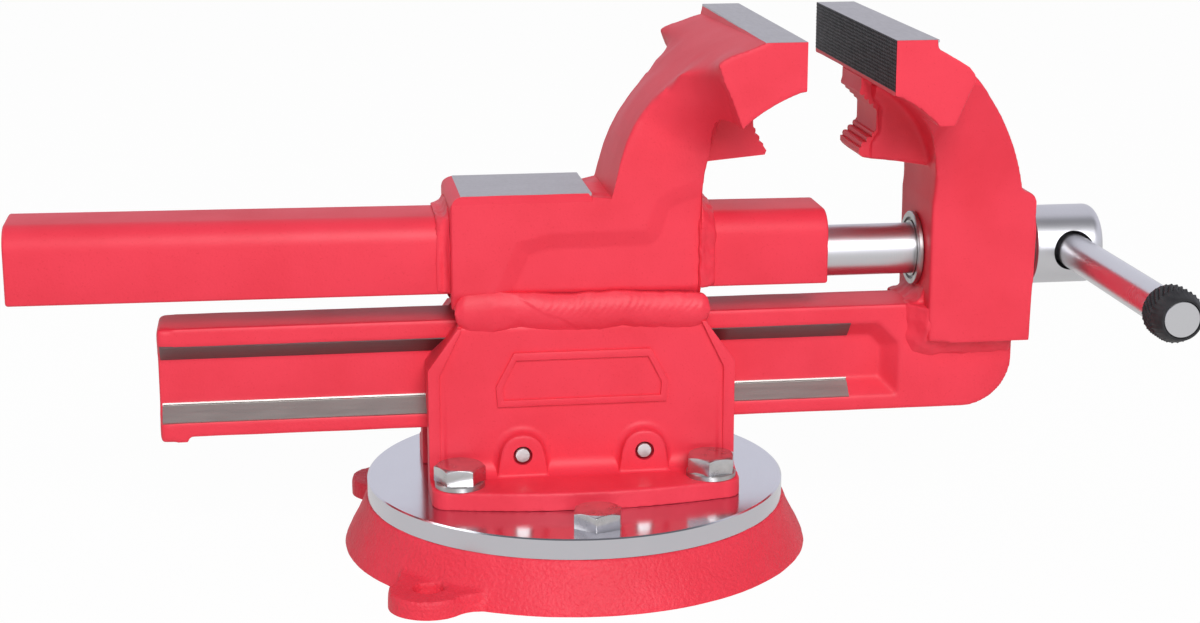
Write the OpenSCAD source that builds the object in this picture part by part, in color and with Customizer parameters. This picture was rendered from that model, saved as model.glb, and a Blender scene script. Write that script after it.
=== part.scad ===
// Swivel bench vise with welded forged jaws, an overhead screw guard and a
// grooved guide bar below it. Millimetres. The origin is on the swivel axis at
// the bench, +X points to the moving jaw and the handle, +Z is up.

/* [Base] */
// Radius of the base on the bench
base_r = 90; // [85:0.5:100]
// Radius of the base under the plate
base_top_r = 82.4; // [82:0.1:86]
// Height of the base
base_h = 18.7; // [16:0.1:26]
// Height of the upright band at the foot of the base
base_land = 3.5; // [2:0.1:6]
// Depth of the hollow under the base
base_hollow = 9; // [4:0.5:11]
// Distance of the bench bolt holes from the swivel axis
lug_r = 95; // [92:0.5:105]
// Diameter of the bench bolt holes
lug_hole_d = 11; // [8:0.5:14]
// Radius of the round lug ends
lug_end_r = 15; // [12:0.5:18]
// Thickness of the lugs
lug_t = 7; // [5:0.5:10]
// Half width of a lug where it leaves the base
lug_root = 24; // [18:0.5:30]
// Direction of the middle lug, seen from above
lug_turn = 138.5; // [0:0.5:360]

/* [Swivel] */
// Radius of the ground swivel plate
plate_r = 81.8; // [80:0.1:84]
// Thickness of the swivel plate
plate_t = 7.8; // [6:0.1:12]
// Diameter of the pivot pin
pivot_d = 24; // [16:0.5:32]
// Thickness of the base below the pivot pin
pivot_floor = 3; // [2:0.1:6]
// Distance of the swivel lock bolts from the axis
lock_r = 66.5; // [65:0.1:68]
// Width of a clamp nut across its groove
clamp_w = 21; // [18:0.5:22]
// Height of a clamp nut
clamp_h = 6.4; // [5:0.1:7]
// Angle that a clamp nut takes of its groove
clamp_span = 18; // [12:1:24]
// Thickness of the floor below the clamp nut groove
groove_floor = 4; // [3:0.1:5]

/* [Bolts] */
// Bolt diameter
bolt_d = 10; // [8:0.5:10]
// Bolt head across its flats
bolt_af = 17; // [15:0.5:18]
// Bolt head height
bolt_head_h = 6.4; // [5:0.1:8]
// Washer diameter
washer_d = 19; // [17:0.5:20]
// Washer thickness
washer_t = 2; // [1:0.1:3]
// Foot bolt place along the vise
foot_bolt_x = 48.2; // [46:0.1:49]
// Foot bolt place across the vise
foot_bolt_y = 35; // [34:0.1:36]

/* [Cheeks] */
// Half length of a cheek along the vise
cheek_half = 59; // [58:0.1:62]
// Half length of a cheek at its welded top
cheek_top_half = 47.5; // [44:0.1:52]
// Height of the cheek corner above the plate
cheek_corner = 49.5; // [44:0.1:54]
// Width of the raised rim at the cheek ends
rim_w = 6; // [4:0.1:8]
// Height of the raised rim
rim_t = 1.2; // [0.6:0.1:2]
// Thickness of the cheek's foot
foot_t = 7.2; // [6:0.1:10]
// Reach of the foot from the middle of the vise
foot_reach = 49.7; // [48:0.1:54]
// How far the foot's edge falls back towards its ends
foot_sag = 6.5; // [4:0.1:8]
// Rounding of the foot's corners
foot_corner = 7; // [4:0.1:9]
// Shoe pin place along the vise
pin_x = 23.5; // [20:0.1:26]
// Diameter of the shoe pins
pin_d = 6; // [5:0.1:7]
// Radius of the pin bosses
boss_r = 8.1; // [7:0.1:10]
// Height of the pin bosses over the cheek
boss_t = 4.5; // [3:0.1:6]
// Length of the raised frame, long side
frame_l = 66; // [50:0.5:72]
// Height of the raised frame
frame_h = 22; // [16:0.5:24]
// Height of the frame's middle above the plate
frame_z = 45.5; // [44:0.1:47]

/* [Guide bar] */
// Width of the guide bar
bar_w = 30; // [26:0.5:32]
// Height of the guide bar
bar_h = 42.5; // [38:0.5:48]
// Length of the guide bar
bar_l = 330.8; // [300:0.1:350]
// Height of the guide bar above the plate
bar_lift = 24.2; // [22:0.1:28]
// Upper lip beside the groove
lip_top = 6.8; // [5:0.1:8]
// Lower lip beside the groove
lip_low = 5.5; // [4:0.1:7]
// Depth of the side grooves
groove_d = 6.5; // [4:0.1:7.5]
// Distance from the groove's end to the front column
groove_stop = 9; // [6:0.1:14]
// Cut across the upper front corner of each groove
groove_corner = 8.5; // [4:0.1:10]
// Rounding of the lower front corner
bar_round = 20; // [10:0.5:24]
// Length of the stop nub
nub_l = 11; // [8:0.5:14]
// Depth of the stop nub
nub_h = 2; // [1.5:0.1:3]
// Half length of the guide shoe, one end of which stops the nub
shoe_half = 30; // [28:0.5:40]
// Thickness of the guide shoe
shoe_t = 5.2; // [3:0.1:7]

/* [Jaws] */
// Jaw width
jaw_w = 125; // [110:1:150]
// Jaw opening as drawn
jaw_open = 31.7; // [20:0.1:45]
// Fixed jaw face, from the swivel axis
face_x = 76.8; // [72:0.1:84]
// Height of the jaw tops above the anvil
jaw_rise = 60.8; // [58:0.1:66]
// Depth of the ground strip on each jaw
jaw_land = 15.7; // [13:0.1:18]
// Height of the fixed jaw face
fixed_face_h = 17.5; // [15:0.1:20]
// Height of the moving jaw face
moving_face_h = 19.7; // [17:0.1:21]
// Radius from the arm out to the jaw
flare_r = 15; // [8:0.5:18]
// Width of the pipe jaws
pipe_w = 30; // [24:0.5:36]
// Reach of the moving jaw ahead of its column
throat = 27.5; // [26:0.1:32]
// Width of the front column
column_w = 45; // [40:0.5:50]
// Depth of the front column
column_l = 42.5; // [40:0.1:46]
// How far the guide bar is let up into the front column
bar_let = 12.4; // [8:0.1:16]
// How far the guide bar reaches under the front column
bar_seat = 36.5; // [30:0.1:40]

/* [Body] */
// Width of the welded body
body_w = 48; // [46:0.1:52]
// Rear end of the body, behind the axis
body_rear = 49.5; // [48:0.1:54]
// Front of the body, ahead of the axis
body_front = 46; // [44:0.1:48]
// Front end of the anvil
anvil_front = 4; // [0:0.1:6]
// Wall between the anvil and the screw guard
anvil_wall = 8.8; // [7:0.1:12]
// Height of the weld seam above the guide bar
seam_rise = 4.8; // [3:0.1:7]
// Half height of the cheek weld
seam_half = 7; // [5:0.1:9]
// Depth of the weld groove
seam_depth = 4; // [2:0.1:4.5]
// Crown of the cheek weld
seam_crown = 3.2; // [1.5:0.1:4]

/* [Screw] */
// Height of the spindle axis above the guide bar
spindle_rise = 19.2; // [17:0.1:24]
// Spindle diameter
spindle_d = 20; // [16:0.5:21]
// Spindle length behind its head
spindle_l = 290; // [280:0.5:320]
// Length of the spindle's thread
thread_l = 180; // [175:1:190]
// Thread pitch
thread_pitch = 5; // [4:0.5:6]
// Thread depth
thread_depth = 2; // [1:0.1:2.5]
// Diameter of the spindle head
head_d = 31; // [28:0.5:36]
// Length of the spindle head
head_l = 28.2; // [26:0.1:40]
// Distance of the handle's eye from the column end of the head
eye_in = 15.3; // [12:0.1:17]
// Diameter of the ring that holds the spindle in the column
ring_d = 28; // [25:0.5:32]
// Thickness of the ring and of the thrust washer
ring_t = 2; // [1.5:0.1:3]
// Width of the screw guard
guard_w = 37; // [35:0.1:38]
// Height of the screw guard
guard_h = 28.2; // [27:0.1:34]
// Wall over the spindle
guard_wall = 7; // [4:0.1:9]
// Top of the screw guard above the spindle axis
guard_rise = 20.8; // [20:0.1:24]
// Rounding along the top of the guard
guard_round = 9; // [4:0.5:12]
// Rear end of the guard, behind the axis
guard_rear = 213.5; // [205:0.5:230]
// Front end of the guard, ahead of the axis
guard_front = 96.5; // [85:0.5:98]
// Length of the spindle nut
nut_l = 40; // [30:1:44]

/* [Handle] */
// Diameter of the handle bar
handle_d = 13.5; // [10:0.1:15]
// Length of the handle bar
handle_l = 252; // [200:1:260]
// Largest diameter of the end rings
grip_d = 19.6; // [18:0.1:24]
// Diameter of the end rings at their tips
grip_tip_d = 14.8; // [14.6:0.1:17]
// Length of the end rings
grip_l = 15; // [10:0.5:20]

/* [Clearances] */
// Running fit of round parts, on the radius
fit = 0.05; // [0.02:0.01:0.1]
// Clearance of sliding and loose parts
slip = 0.3; // [0.2:0.05:0.4]

/* [Hidden] */
$fn = 64;

// Finishes
red_paint = [0.86, 0.17, 0.22];
bright_steel = [0.78, 0.80, 0.83];
ground_steel = [0.62, 0.63, 0.66];
zinc_steel = [0.72, 0.72, 0.70];
black_oxide = [0.12, 0.12, 0.12];

// A cut runs this far past the face that it leaves
over = 1;
// Flats along a long arc, and how far a quarter circle rises from its chord
arc_steps = 18;
quarter_rise = 1 - sqrt(0.5);

// Heights, stacked up from the bench
plate_z = base_h + plate_t;
foot_z = plate_z + foot_t;
bar_z = plate_z + bar_lift;
bar_top = bar_z + bar_h;
seam_z = bar_top + seam_rise;
spindle_z = bar_top + spindle_rise;
guard_top = spindle_z + guard_rise;
guard_z = guard_top - guard_h;
anvil_z = guard_top + anvil_wall;
jaw_top = anvil_z + jaw_rise;
column_z = bar_top - bar_let;

// Places along the vise
moving_x = face_x + jaw_open;
column_x = moving_x + throat;
column_back = column_x + column_l;
bar_front = column_x + bar_seat;
bar_rear = bar_front - bar_l;
head_x = column_back + ring_t + slip;
eye_x = head_x + eye_in;
spindle_end = head_x - spindle_l;

// Swivel
lug_angles = [lug_turn - 90, lug_turn, lug_turn + 90];
bolt_play = 1;
bolt_hole_d = bolt_d + bolt_play;
throat_w = bolt_d + 2 * bolt_play;
bolt_bevel = 0.3;
hub_wall = 10;
groove_wall = 4;
groove_w = clamp_w + 2 * slip;
groove_h = clamp_h + 2 * slip;
entry_angle = 0;
entry_d = groove_w + 2 * bolt_play;

// Guide bar and cheeks
cheek_in = bar_w / 2 + slip;
cheek_out = body_w / 2;
groove_low = bar_z + lip_low;
groove_high = bar_top - lip_top;
groove_end = column_x - groove_stop;
pin_mouth_play = 1.8;
pin_mouth_d = pin_d + pin_mouth_play;
pin_mouth = 1;
pin_z = bar_z - pin_d / 2 - shoe_t - slip - fit;
foot_edge = foot_reach - foot_sag;
frame_border = 2.4;
frame_rise = 0.8;
frame_slant = 5;

// Jaw arms: each leans, and its ear starts at a corner on the arm's back
fixed_lean = 20.5;
fixed_ear_in = 32.2;
fixed_ear_drop = 8.8;
fixed_ear = [face_x - fixed_ear_in, jaw_top - fixed_ear_drop];
moving_lean = 23;
moving_ear_in = 30.2;
moving_ear_drop = 15.7;
moving_ear = [moving_x + moving_ear_in, jaw_top - moving_ear_drop];
moving_chin_drop = 31.9;
moving_chin = jaw_top - moving_chin_drop;
moving_sag = 10;
ear_reach = 160;
back_sag = 7.4;
neck_bow = 1.6;
chin_bow = 1.3;
throat_bow = 10;
throat_rise = 22;
step_drop = 3.5;
step_in = 0.5;
chin_in = 22.8;
chin_drop = 30.2;
chin = [face_x - chin_in, jaw_top - chin_drop];
root_in = 6.5;
root_rise = 4;
arm_root = [anvil_front + root_in, anvil_z + root_rise];
neck_drop = 2;
neck_z = anvil_z - neck_drop;
shoulder_rise = 26.6;
shoulder_z = spindle_z + shoulder_rise;
shoulder_in = 6;
shoulder_drop = 6;
shoulder_lip = 2;
shoulder_bow = 1.4;
column_taper = 1.5;

// Pipe jaws: two rows of teeth on each, above and below an upright notch
tooth_depth = 1.4;
pipe_teeth = 4;
low_teeth = 3;
pipe_lip = 1.5;
pipe_root = 10;
fixed_tip_in = 4.5;
fixed_tip_drop = 46.4;
fixed_tip = [face_x - fixed_tip_in, jaw_top - fixed_tip_drop];
fixed_notch_in = 5.5;
fixed_notch_rise = 10;
fixed_notch = fixed_tip + [-fixed_notch_in, fixed_notch_rise];
fixed_notch_h = 3.5;
fixed_top_in = 2;
fixed_pipe_top = [face_x - fixed_top_in, jaw_top - fixed_face_h - over];
fixed_fall = 3;
moving_tip_drop = 49.8;
moving_tip = [moving_x, jaw_top - moving_tip_drop];
moving_notch_in = 7;
moving_notch_rise = 9.5;
moving_notch = moving_tip + [moving_notch_in, moving_notch_rise];
moving_notch_h = 7.8;
moving_top_drop = 24;
moving_pipe_top = [moving_x, jaw_top - moving_top_drop];
moving_fall = 5.2;

// Welds, guard and screw
bead = (body_w - guard_w) / 2;
foot_bead = (column_w - bar_w) / 2;
top_bead = spindle_z - ring_d / 2 - bar_top - slip;
guard_in_w = guard_w - 2 * guard_wall;
guard_in_top = guard_top - guard_wall;
nut_x = -4;
head_edge = 2;
collar_edge = 1;
grip_edge = 2;
grip_taper = 5.7;

// Points on the arc from p to q that rises h to the left of that way
function chord_arc(p, q, h, n = 8) =
  let (d = q - p, len = norm(d), r = (len * len / 4 + h * h) / (2 * h),
       c = (p + q) / 2 + [-d.y, d.x] / len * (h - r),
       a = atan2(p.y - c.y, p.x - c.x), sweep = -2 * asin(len / (2 * r)))
  [for (i = [0:n]) c + abs(r) * [cos(a + sweep * i / n), sin(a + sweep * i / n)]];

// Saw teeth from p to q, cut to the left of that way
function teeth(p, q, count, depth) =
  let (d = q - p, side = [-d.y, d.x] / norm(d))
  [for (i = [0:count - 1]) each [p + d * i / count, p + d * (i + 0.5) / count + side * depth], q];

// An outline and its mirror image, across the X axis or the Y axis
function mirrored(points) = concat(points, [for (i = [len(points) - 1:-1:0]) [points[i].x, -points[i].y]]);
function mirrored_x(points) = concat(points, [for (i = [len(points) - 1:-1:0]) [-points[i].x, points[i].y]]);

// An outline in X and Z, drawn out along Y
module across(y0, y1) {
  translate([0, y1, 0]) rotate([90, 0, 0]) linear_extrude(y1 - y0) children();
}

// An outline in Y and Z, drawn out along X
module along(x0, x1) {
  translate([x0, 0, 0]) rotate([90, 0, 90]) linear_extrude(x1 - x0) children();
}

module both_sides() {
  children();
  mirror([0, 1, 0]) children();
}

module at_foot_bolts() {
  for (x = [-foot_bolt_x, foot_bolt_x], y = [-foot_bolt_y, foot_bolt_y]) translate([x, y, 0]) children();
}

// A hexagon bolt, its head seat at z = 0 and its shank below
module hex_bolt(shank_l) {
  top_r = bolt_af / 2 - bolt_bevel;
  intersection() {
    cylinder(r = bolt_af / sqrt(3), h = bolt_head_h, $fn = 6);
    translate([0, 0, -over])
      cylinder(r1 = top_r + bolt_head_h + over, r2 = top_r - over, h = bolt_head_h + 2 * over);
  }
  translate([0, 0, -shank_l]) cylinder(d = bolt_d, h = shank_l + over);
}

// Base and swivel

module lug() {
  root_x = sqrt(base_r * base_r - lug_root * lug_root) - lug_end_r / 2;
  linear_extrude(lug_t) {
    translate([lug_r, 0]) circle(lug_end_r);
    polygon([[root_x, -lug_root], [lug_r, -lug_end_r], [lug_r, lug_end_r], [root_x, lug_root]]);
  }
}

module ring_cut(r, w, z0, z1) {
  rotate_extrude() translate([r - w / 2, z0]) square([w, z1 - z0]);
}

module swivel_base() {
  hub_r = pivot_d / 2 + hub_wall;
  hollow_r = lock_r - groove_w / 2 - groove_wall;
  color(red_paint) difference() {
    union() {
      rotate_extrude() polygon([[0, 0], [base_r, 0], [base_r, base_land], [base_top_r, base_h], [0, base_h]]);
      for (a = lug_angles) rotate(a) lug();
    }
    translate([0, 0, pivot_floor]) cylinder(r = pivot_d / 2 + fit, h = base_h);
    ring_cut((hub_r + hollow_r) / 2, hollow_r - hub_r, -over, base_hollow);
    ring_cut(lock_r, throat_w, groove_floor, base_h + over);
    ring_cut(lock_r, groove_w, groove_floor, groove_floor + groove_h);
    rotate(entry_angle) translate([lock_r, 0, groove_floor]) cylinder(d = entry_d, h = base_h);
    for (a = lug_angles) rotate(a) translate([lug_r, 0, -over])
      cylinder(d = lug_hole_d, h = lug_t + 2 * over);
  }
}

module swivel_plate() {
  color(ground_steel) difference() {
    translate([0, 0, base_h]) cylinder(r = plate_r, h = plate_t);
    translate([0, 0, base_h - over]) {
      cylinder(r = pivot_d / 2, h = plate_t + 2 * over);
      both_sides() translate([0, lock_r, 0]) cylinder(d = bolt_hole_d, h = plate_t + 2 * over);
      at_foot_bolts() cylinder(d = bolt_d, h = plate_t + 2 * over);
    }
  }
}

module pivot_pin() {
  bottom = pivot_floor + slip;
  color(ground_steel) translate([0, 0, bottom]) cylinder(d = pivot_d, h = plate_z - bottom);
}

module clamp_nut(side) {
  color(zinc_steel) rotate(side * 90) difference() {
    rotate(-clamp_span / 2) rotate_extrude(angle = clamp_span)
      translate([lock_r - clamp_w / 2, groove_floor + slip]) square([clamp_w, clamp_h]);
    translate([lock_r, 0, 0]) cylinder(r = bolt_d / 2 + fit, h = base_h);
  }
}

module lock_bolt(side) {
  color(zinc_steel) translate([0, side * lock_r, plate_z]) hex_bolt(plate_z - groove_floor - 2 * slip);
}

module left_clamp_nut() { clamp_nut(-1); }
module right_clamp_nut() { clamp_nut(1); }
module left_lock_bolt() { lock_bolt(-1); }
module right_lock_bolt() { lock_bolt(1); }

// Cheeks and what they hold

function cheek_outline(inset) =
  let (h = cheek_half - inset, t = cheek_top_half - inset)
  [[-h, plate_z], [h, plate_z], [h, plate_z + cheek_corner], [t, seam_z - seam_half + over],
   [t, seam_z], [-t, seam_z], [-t, seam_z - seam_half + over], [-h, plate_z + cheek_corner]];

// The foot seen from above, its edge an arc between rounded corners
function foot_outline() =
  let (in_x = cheek_half - foot_corner, corner_y = foot_corner - foot_edge)
  concat([[-cheek_half, -cheek_in]],
    chord_arc([-cheek_half, corner_y], [-in_x, -foot_edge], -foot_corner * quarter_rise),
    chord_arc([-in_x, -foot_edge], [in_x, -foot_edge], -foot_sag, arc_steps),
    chord_arc([in_x, -foot_edge], [cheek_half, corner_y], -foot_corner * quarter_rise),
    [[cheek_half, -cheek_in]]);

// The tongue that runs in the side groove of the guide bar
module tongue() {
  along(-cheek_half, cheek_half)
    polygon([[-cheek_in, groove_low + slip], [-bar_w / 2, groove_low + slip],
             [groove_d - slip - bar_w / 2, groove_low + groove_d],
             [groove_d - slip - bar_w / 2, groove_high - groove_d],
             [-bar_w / 2, groove_high - slip], [-cheek_in, groove_high - slip]]);
}

module frame_outline(inset) {
  half = frame_l / 2 - inset;
  high = frame_h / 2 - inset;
  translate([0, plate_z + frame_z])
    polygon([[-half, -high], [half, -high], [half - frame_slant, high], [frame_slant - half, high]]);
}

module pin_boss() {
  translate([0, pin_z]) circle(boss_r);
  translate([-boss_r, plate_z]) square([2 * boss_r, pin_z - plate_z]);
}

// The V along the seam that the weld fills
module seam_notch(crown) {
  polygon(concat(chord_arc([-cheek_out, seam_z + seam_half], [-cheek_out, seam_z - seam_half], -crown),
                 [[seam_depth - cheek_out, seam_z]]));
}

module cheek() {
  difference() {
    union() {
      across(-cheek_out, -cheek_in) polygon(cheek_outline(0));
      across(-cheek_out - rim_t, -cheek_out) difference() {
        polygon(cheek_outline(0));
        polygon(cheek_outline(rim_w));
      }
      translate([0, 0, plate_z]) linear_extrude(foot_t) polygon(foot_outline());
      across(-cheek_out - boss_t, -cheek_out) for (x = [-pin_x, pin_x]) translate([x, 0]) pin_boss();
      across(-cheek_out - frame_rise, -cheek_out) difference() {
        frame_outline(0);
        frame_outline(frame_border);
      }
      tongue();
    }
    for (x = [-pin_x, pin_x]) translate([x, 0, pin_z]) rotate([90, 0, 0]) {
      cylinder(d = pin_d, h = body_w);
      translate([0, 0, cheek_out + boss_t - pin_mouth]) cylinder(d = pin_mouth_d, h = body_w);
    }
    at_foot_bolts() translate([0, 0, plate_z - over]) cylinder(d = bolt_hole_d, h = foot_t + 2 * over);
    along(-cheek_half - over, cheek_half + over) seam_notch(seam_crown);
  }
}

module left_cheek() { color(red_paint) cheek(); }
module right_cheek() { color(red_paint) mirror([0, 1, 0]) cheek(); }

module foot_washers() {
  color(zinc_steel) at_foot_bolts() translate([0, 0, foot_z]) difference() {
    cylinder(d = washer_d, h = washer_t);
    translate([0, 0, -over]) cylinder(d = bolt_hole_d, h = washer_t + 2 * over);
  }
}

module foot_bolts() {
  shank_l = washer_t + foot_t + plate_t - over;
  color(zinc_steel) at_foot_bolts() translate([0, 0, foot_z + washer_t]) hex_bolt(shank_l);
}

module guide_shoe() {
  color(ground_steel) translate([-shoe_half, slip - cheek_in, bar_z - slip - shoe_t])
    cube([2 * shoe_half, 2 * (cheek_in - slip), shoe_t]);
}

module shoe_pins() {
  half = cheek_out + boss_t - pin_mouth / 2;
  color(bright_steel) for (x = [-pin_x, pin_x]) translate([x, half, pin_z])
    rotate([90, 0, 0]) cylinder(d = pin_d, h = 2 * half);
}

module cheek_weld() {
  along(-body_rear, body_front) seam_notch(seam_crown);
}

module left_cheek_weld() { color(red_paint) cheek_weld(); }
module right_cheek_weld() { color(red_paint) mirror([0, 1, 0]) cheek_weld(); }

// Jaws

// Seen from above, an arm that flares out to the jaw's full width at s = 0
module ear_plan(arm_w) {
  arm = arm_w / 2;
  jaw = jaw_w / 2;
  polygon(mirrored(concat([[-ear_reach, arm]],
    chord_arc([-flare_r, arm], [0, arm + flare_r], -flare_r * quarter_rise),
    [[0, jaw], [ear_reach, jaw]])));
}

// The flared arm, leaning so that its ear starts square to the arm's back
module ear_block(corner, lean, arm_w) {
  translate([corner.x, 0, corner.y]) rotate([0, -lean, 0])
    translate([0, 0, -ear_reach]) linear_extrude(2 * ear_reach) ear_plan(arm_w);
}

module fixed_profile() {
  face_low = [face_x, jaw_top - fixed_face_h];
  polygon(concat([[-body_rear, seam_z], [body_front, seam_z]],
    chord_arc([body_front, neck_z], chin, neck_bow), chord_arc(chin, face_low, chin_bow),
    [[face_x, jaw_top]], chord_arc([face_x - jaw_land, jaw_top], arm_root, -back_sag, arc_steps),
    [[anvil_front, anvil_z], [-body_rear, anvil_z]]));
}

module fixed_pipe_profile() {
  root_x = chin.x - pipe_root;
  polygon(concat([[root_x, fixed_tip.y - fixed_fall], fixed_tip - [pipe_lip, pipe_lip]],
    teeth(fixed_tip, fixed_notch, low_teeth, tooth_depth),
    teeth(fixed_notch + [0, fixed_notch_h], fixed_pipe_top, pipe_teeth, tooth_depth),
    [[root_x, fixed_pipe_top.y]]));
}

module guard_outline() {
  half = guard_w / 2;
  r = guard_round;
  polygon(mirrored_x(concat([[half, guard_z]],
    chord_arc([half, guard_top - r], [half - r, guard_top], -r * quarter_rise))));
}

module fixed_jaw() {
  color(red_paint) difference() {
    union() {
      intersection() {
        across(-jaw_w / 2, jaw_w / 2) fixed_profile();
        ear_block(fixed_ear, fixed_lean, body_w);
      }
      across(-pipe_w / 2, pipe_w / 2) fixed_pipe_profile();
    }
    along(-guard_rear, guard_front) {
      guard_outline();
      translate([-guard_w / 2, seam_z - over]) square([guard_w, guard_z - seam_z + 2 * over]);
    }
    both_sides() along(-body_rear - over, body_front + over) seam_notch(seam_crown);
  }
}

module moving_profile() {
  face_low = [moving_x, jaw_top - moving_face_h];
  step = [moving_x + jaw_land + step_in, jaw_top - step_drop];
  shoulder = [column_back - shoulder_in, shoulder_z];
  polygon(concat([[column_x, column_z]],
    chord_arc([column_x, spindle_z + throat_rise], face_low, -throat_bow, arc_steps), [[moving_x, jaw_top]],
    [[moving_x + jaw_land, jaw_top]], chord_arc(step, shoulder, moving_sag, arc_steps),
    chord_arc(shoulder + [shoulder_lip, -shoulder_lip / 2], [column_back, shoulder_z - shoulder_drop],
              shoulder_bow),
    [[column_back - column_taper, column_z]]));
}

module moving_pipe_profile() {
  root_x = column_x + pipe_root / 2;
  top_z = jaw_top - moving_face_h + over;
  polygon(concat([[root_x, moving_tip.y - moving_fall], moving_tip + [pipe_lip, -pipe_lip]],
    teeth(moving_tip, moving_notch, pipe_teeth, -tooth_depth),
    teeth(moving_notch + [0, moving_notch_h], moving_pipe_top, pipe_teeth, -tooth_depth),
    [[moving_x + over, top_z], [root_x, top_z]]));
}

module front_jaw() {
  color(red_paint) difference() {
    union() {
      intersection() {
        across(-jaw_w / 2, jaw_w / 2) moving_profile();
        mirror([1, 0, 0]) ear_block([-moving_ear.x, moving_ear.y], moving_lean, column_w);
      }
      across(-pipe_w / 2, pipe_w / 2) intersection() {
        moving_pipe_profile();
        translate([moving_x, column_z]) square([throat + column_l / 2, jaw_top - column_z]);
      }
    }
    both_sides() translate([moving_x, column_w / 2 + flare_r / 2, column_z])
      cube([throat, jaw_w, moving_chin - column_z]);
    translate([column_x - over, -bar_w / 2, column_z - over]) cube([bar_seat + over, bar_w, bar_let + over]);
    translate([column_x - over, 0, spindle_z]) rotate([0, 90, 0])
      cylinder(r = spindle_d / 2 + fit, h = column_l + 2 * over);
  }
}

// Guide bar and its weld

// A groove's floor lies groove_d deep, and all its walls slope at 45 degrees
module bar_groove() {
  face = -bar_w / 2;
  floor_y = face + groove_d;
  end_wall = [[-2 * bar_l, face - over], [over, face - over], [-groove_d, floor_y], [-2 * bar_l, floor_y]];
  intersection() {
    along(bar_rear - over, bar_front)
      polygon([[face - over, groove_low - over], [floor_y, groove_low + groove_d],
               [floor_y, groove_high - groove_d], [face - over, groove_high + over]]);
    translate([groove_end, 0, bar_z]) linear_extrude(bar_h) polygon(end_wall);
    translate([groove_end, 0, groove_high - groove_corner]) rotate([0, -45, 0])
      translate([0, 0, -bar_l]) linear_extrude(2 * bar_l) polygon(end_wall);
  }
}

module bar_profile() {
  polygon(concat([[bar_rear, bar_top], [bar_rear, bar_z - nub_h], [bar_rear + nub_l, bar_z - nub_h],
                  [bar_rear + nub_l, bar_z]],
    chord_arc([bar_front - bar_round, bar_z], [bar_front, bar_z + bar_round],
              -bar_round * quarter_rise, arc_steps),
    [[bar_front, bar_top]]));
}

module guide_bar() {
  color(red_paint) difference() {
    across(-bar_w / 2, bar_w / 2) bar_profile();
    both_sides() bar_groove();
  }
}

module front_jaw_weld() {
  b = foot_bead;
  face = -bar_w / 2;
  color(red_paint) {
    both_sides() {
      along(column_x, bar_front) polygon([[face, column_z], [face - b, column_z], [face, column_z - b]]);
      translate([0, 0, column_z - b]) linear_extrude(bar_let + b)
        polygon([[column_x, face], [column_x - b, face], [column_x, face - b]]);
    }
    across(face, -face)
      polygon([[column_x, bar_top], [column_x - top_bead, bar_top], [column_x, bar_top + top_bead]]);
  }
}

// Screw and its guard

module screw_guard() {
  color(red_paint) difference() {
    along(-guard_rear, guard_front) guard_outline();
    along(guard_wall - guard_rear, guard_front + over)
      translate([-guard_in_w / 2, guard_z - over]) square([guard_in_w, guard_in_top - guard_z + over]);
  }
}

// A fillet weld round the guard, on a face that looks along +X
module guard_weld() {
  half = guard_w / 2;
  r = guard_round;
  corner_z = guard_top - r;
  both_sides() {
    translate([0, 0, guard_z]) linear_extrude(corner_z - guard_z)
      polygon([[0, half], [bead, half], [0, half + bead]]);
    translate([0, half - r, corner_z]) rotate([90, 0, 90]) rotate_extrude(angle = 90)
      polygon([[r, 0], [r + bead, 0], [r, bead]]);
  }
  across(r - half, half - r) polygon([[0, guard_top], [bead, guard_top], [0, guard_top + bead]]);
}

module rear_guard_weld() { color(red_paint) translate([-body_rear, 0, 0]) mirror([1, 0, 0]) guard_weld(); }
module front_guard_weld() { color(red_paint) translate([body_front, 0, 0]) guard_weld(); }

module spindle_nut() {
  color(zinc_steel) difference() {
    translate([nut_x, -guard_in_w / 2, guard_z]) cube([nut_l, guard_in_w, guard_in_top - guard_z]);
    translate([nut_x - over, 0, spindle_z]) rotate([0, 90, 0])
      cylinder(r = spindle_d / 2 + fit, h = nut_l + 2 * over);
  }
}

// Half section of the spindle: radius against distance from its rear end
module spindle_section() {
  r = spindle_d / 2;
  root = r - thread_depth;
  turns = floor(thread_l / thread_pitch);
  polygon(concat([[0, 0], [root, 0]],
    [for (i = [0:turns - 1], step = [[0.5, r], [0.75, r], [1, root], [1.25, root]])
      [step[1], (i + step[0]) * thread_pitch]],
    [[r, (turns + 0.5) * thread_pitch], [r, spindle_l], [head_d / 2 - collar_edge, spindle_l],
     [head_d / 2, spindle_l + collar_edge], [head_d / 2, spindle_l + head_l - head_edge],
     [head_d / 2 - head_edge, spindle_l + head_l], [0, spindle_l + head_l]]));
}

module spindle() {
  color(bright_steel) difference() {
    translate([spindle_end, 0, spindle_z]) rotate([0, 90, 0]) rotate_extrude() spindle_section();
    translate([eye_x, head_d, spindle_z]) rotate([90, 0, 0])
      cylinder(r = handle_d / 2 + slip, h = 2 * head_d);
  }
}

module spindle_ring(x) {
  color(zinc_steel) translate([x, 0, spindle_z]) rotate([0, 90, 0]) difference() {
    cylinder(d = ring_d, h = ring_t);
    translate([0, 0, -over]) cylinder(r = spindle_d / 2, h = ring_t + 2 * over);
  }
}

module retaining_ring() { spindle_ring(column_x - ring_t - slip); }
module thrust_washer() { spindle_ring(head_x - ring_t); }

// Handle

module tommy_bar() {
  color(bright_steel) translate([eye_x, handle_l / 2, spindle_z]) rotate([90, 0, 0])
    cylinder(d = handle_d, h = handle_l);
}

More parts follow.
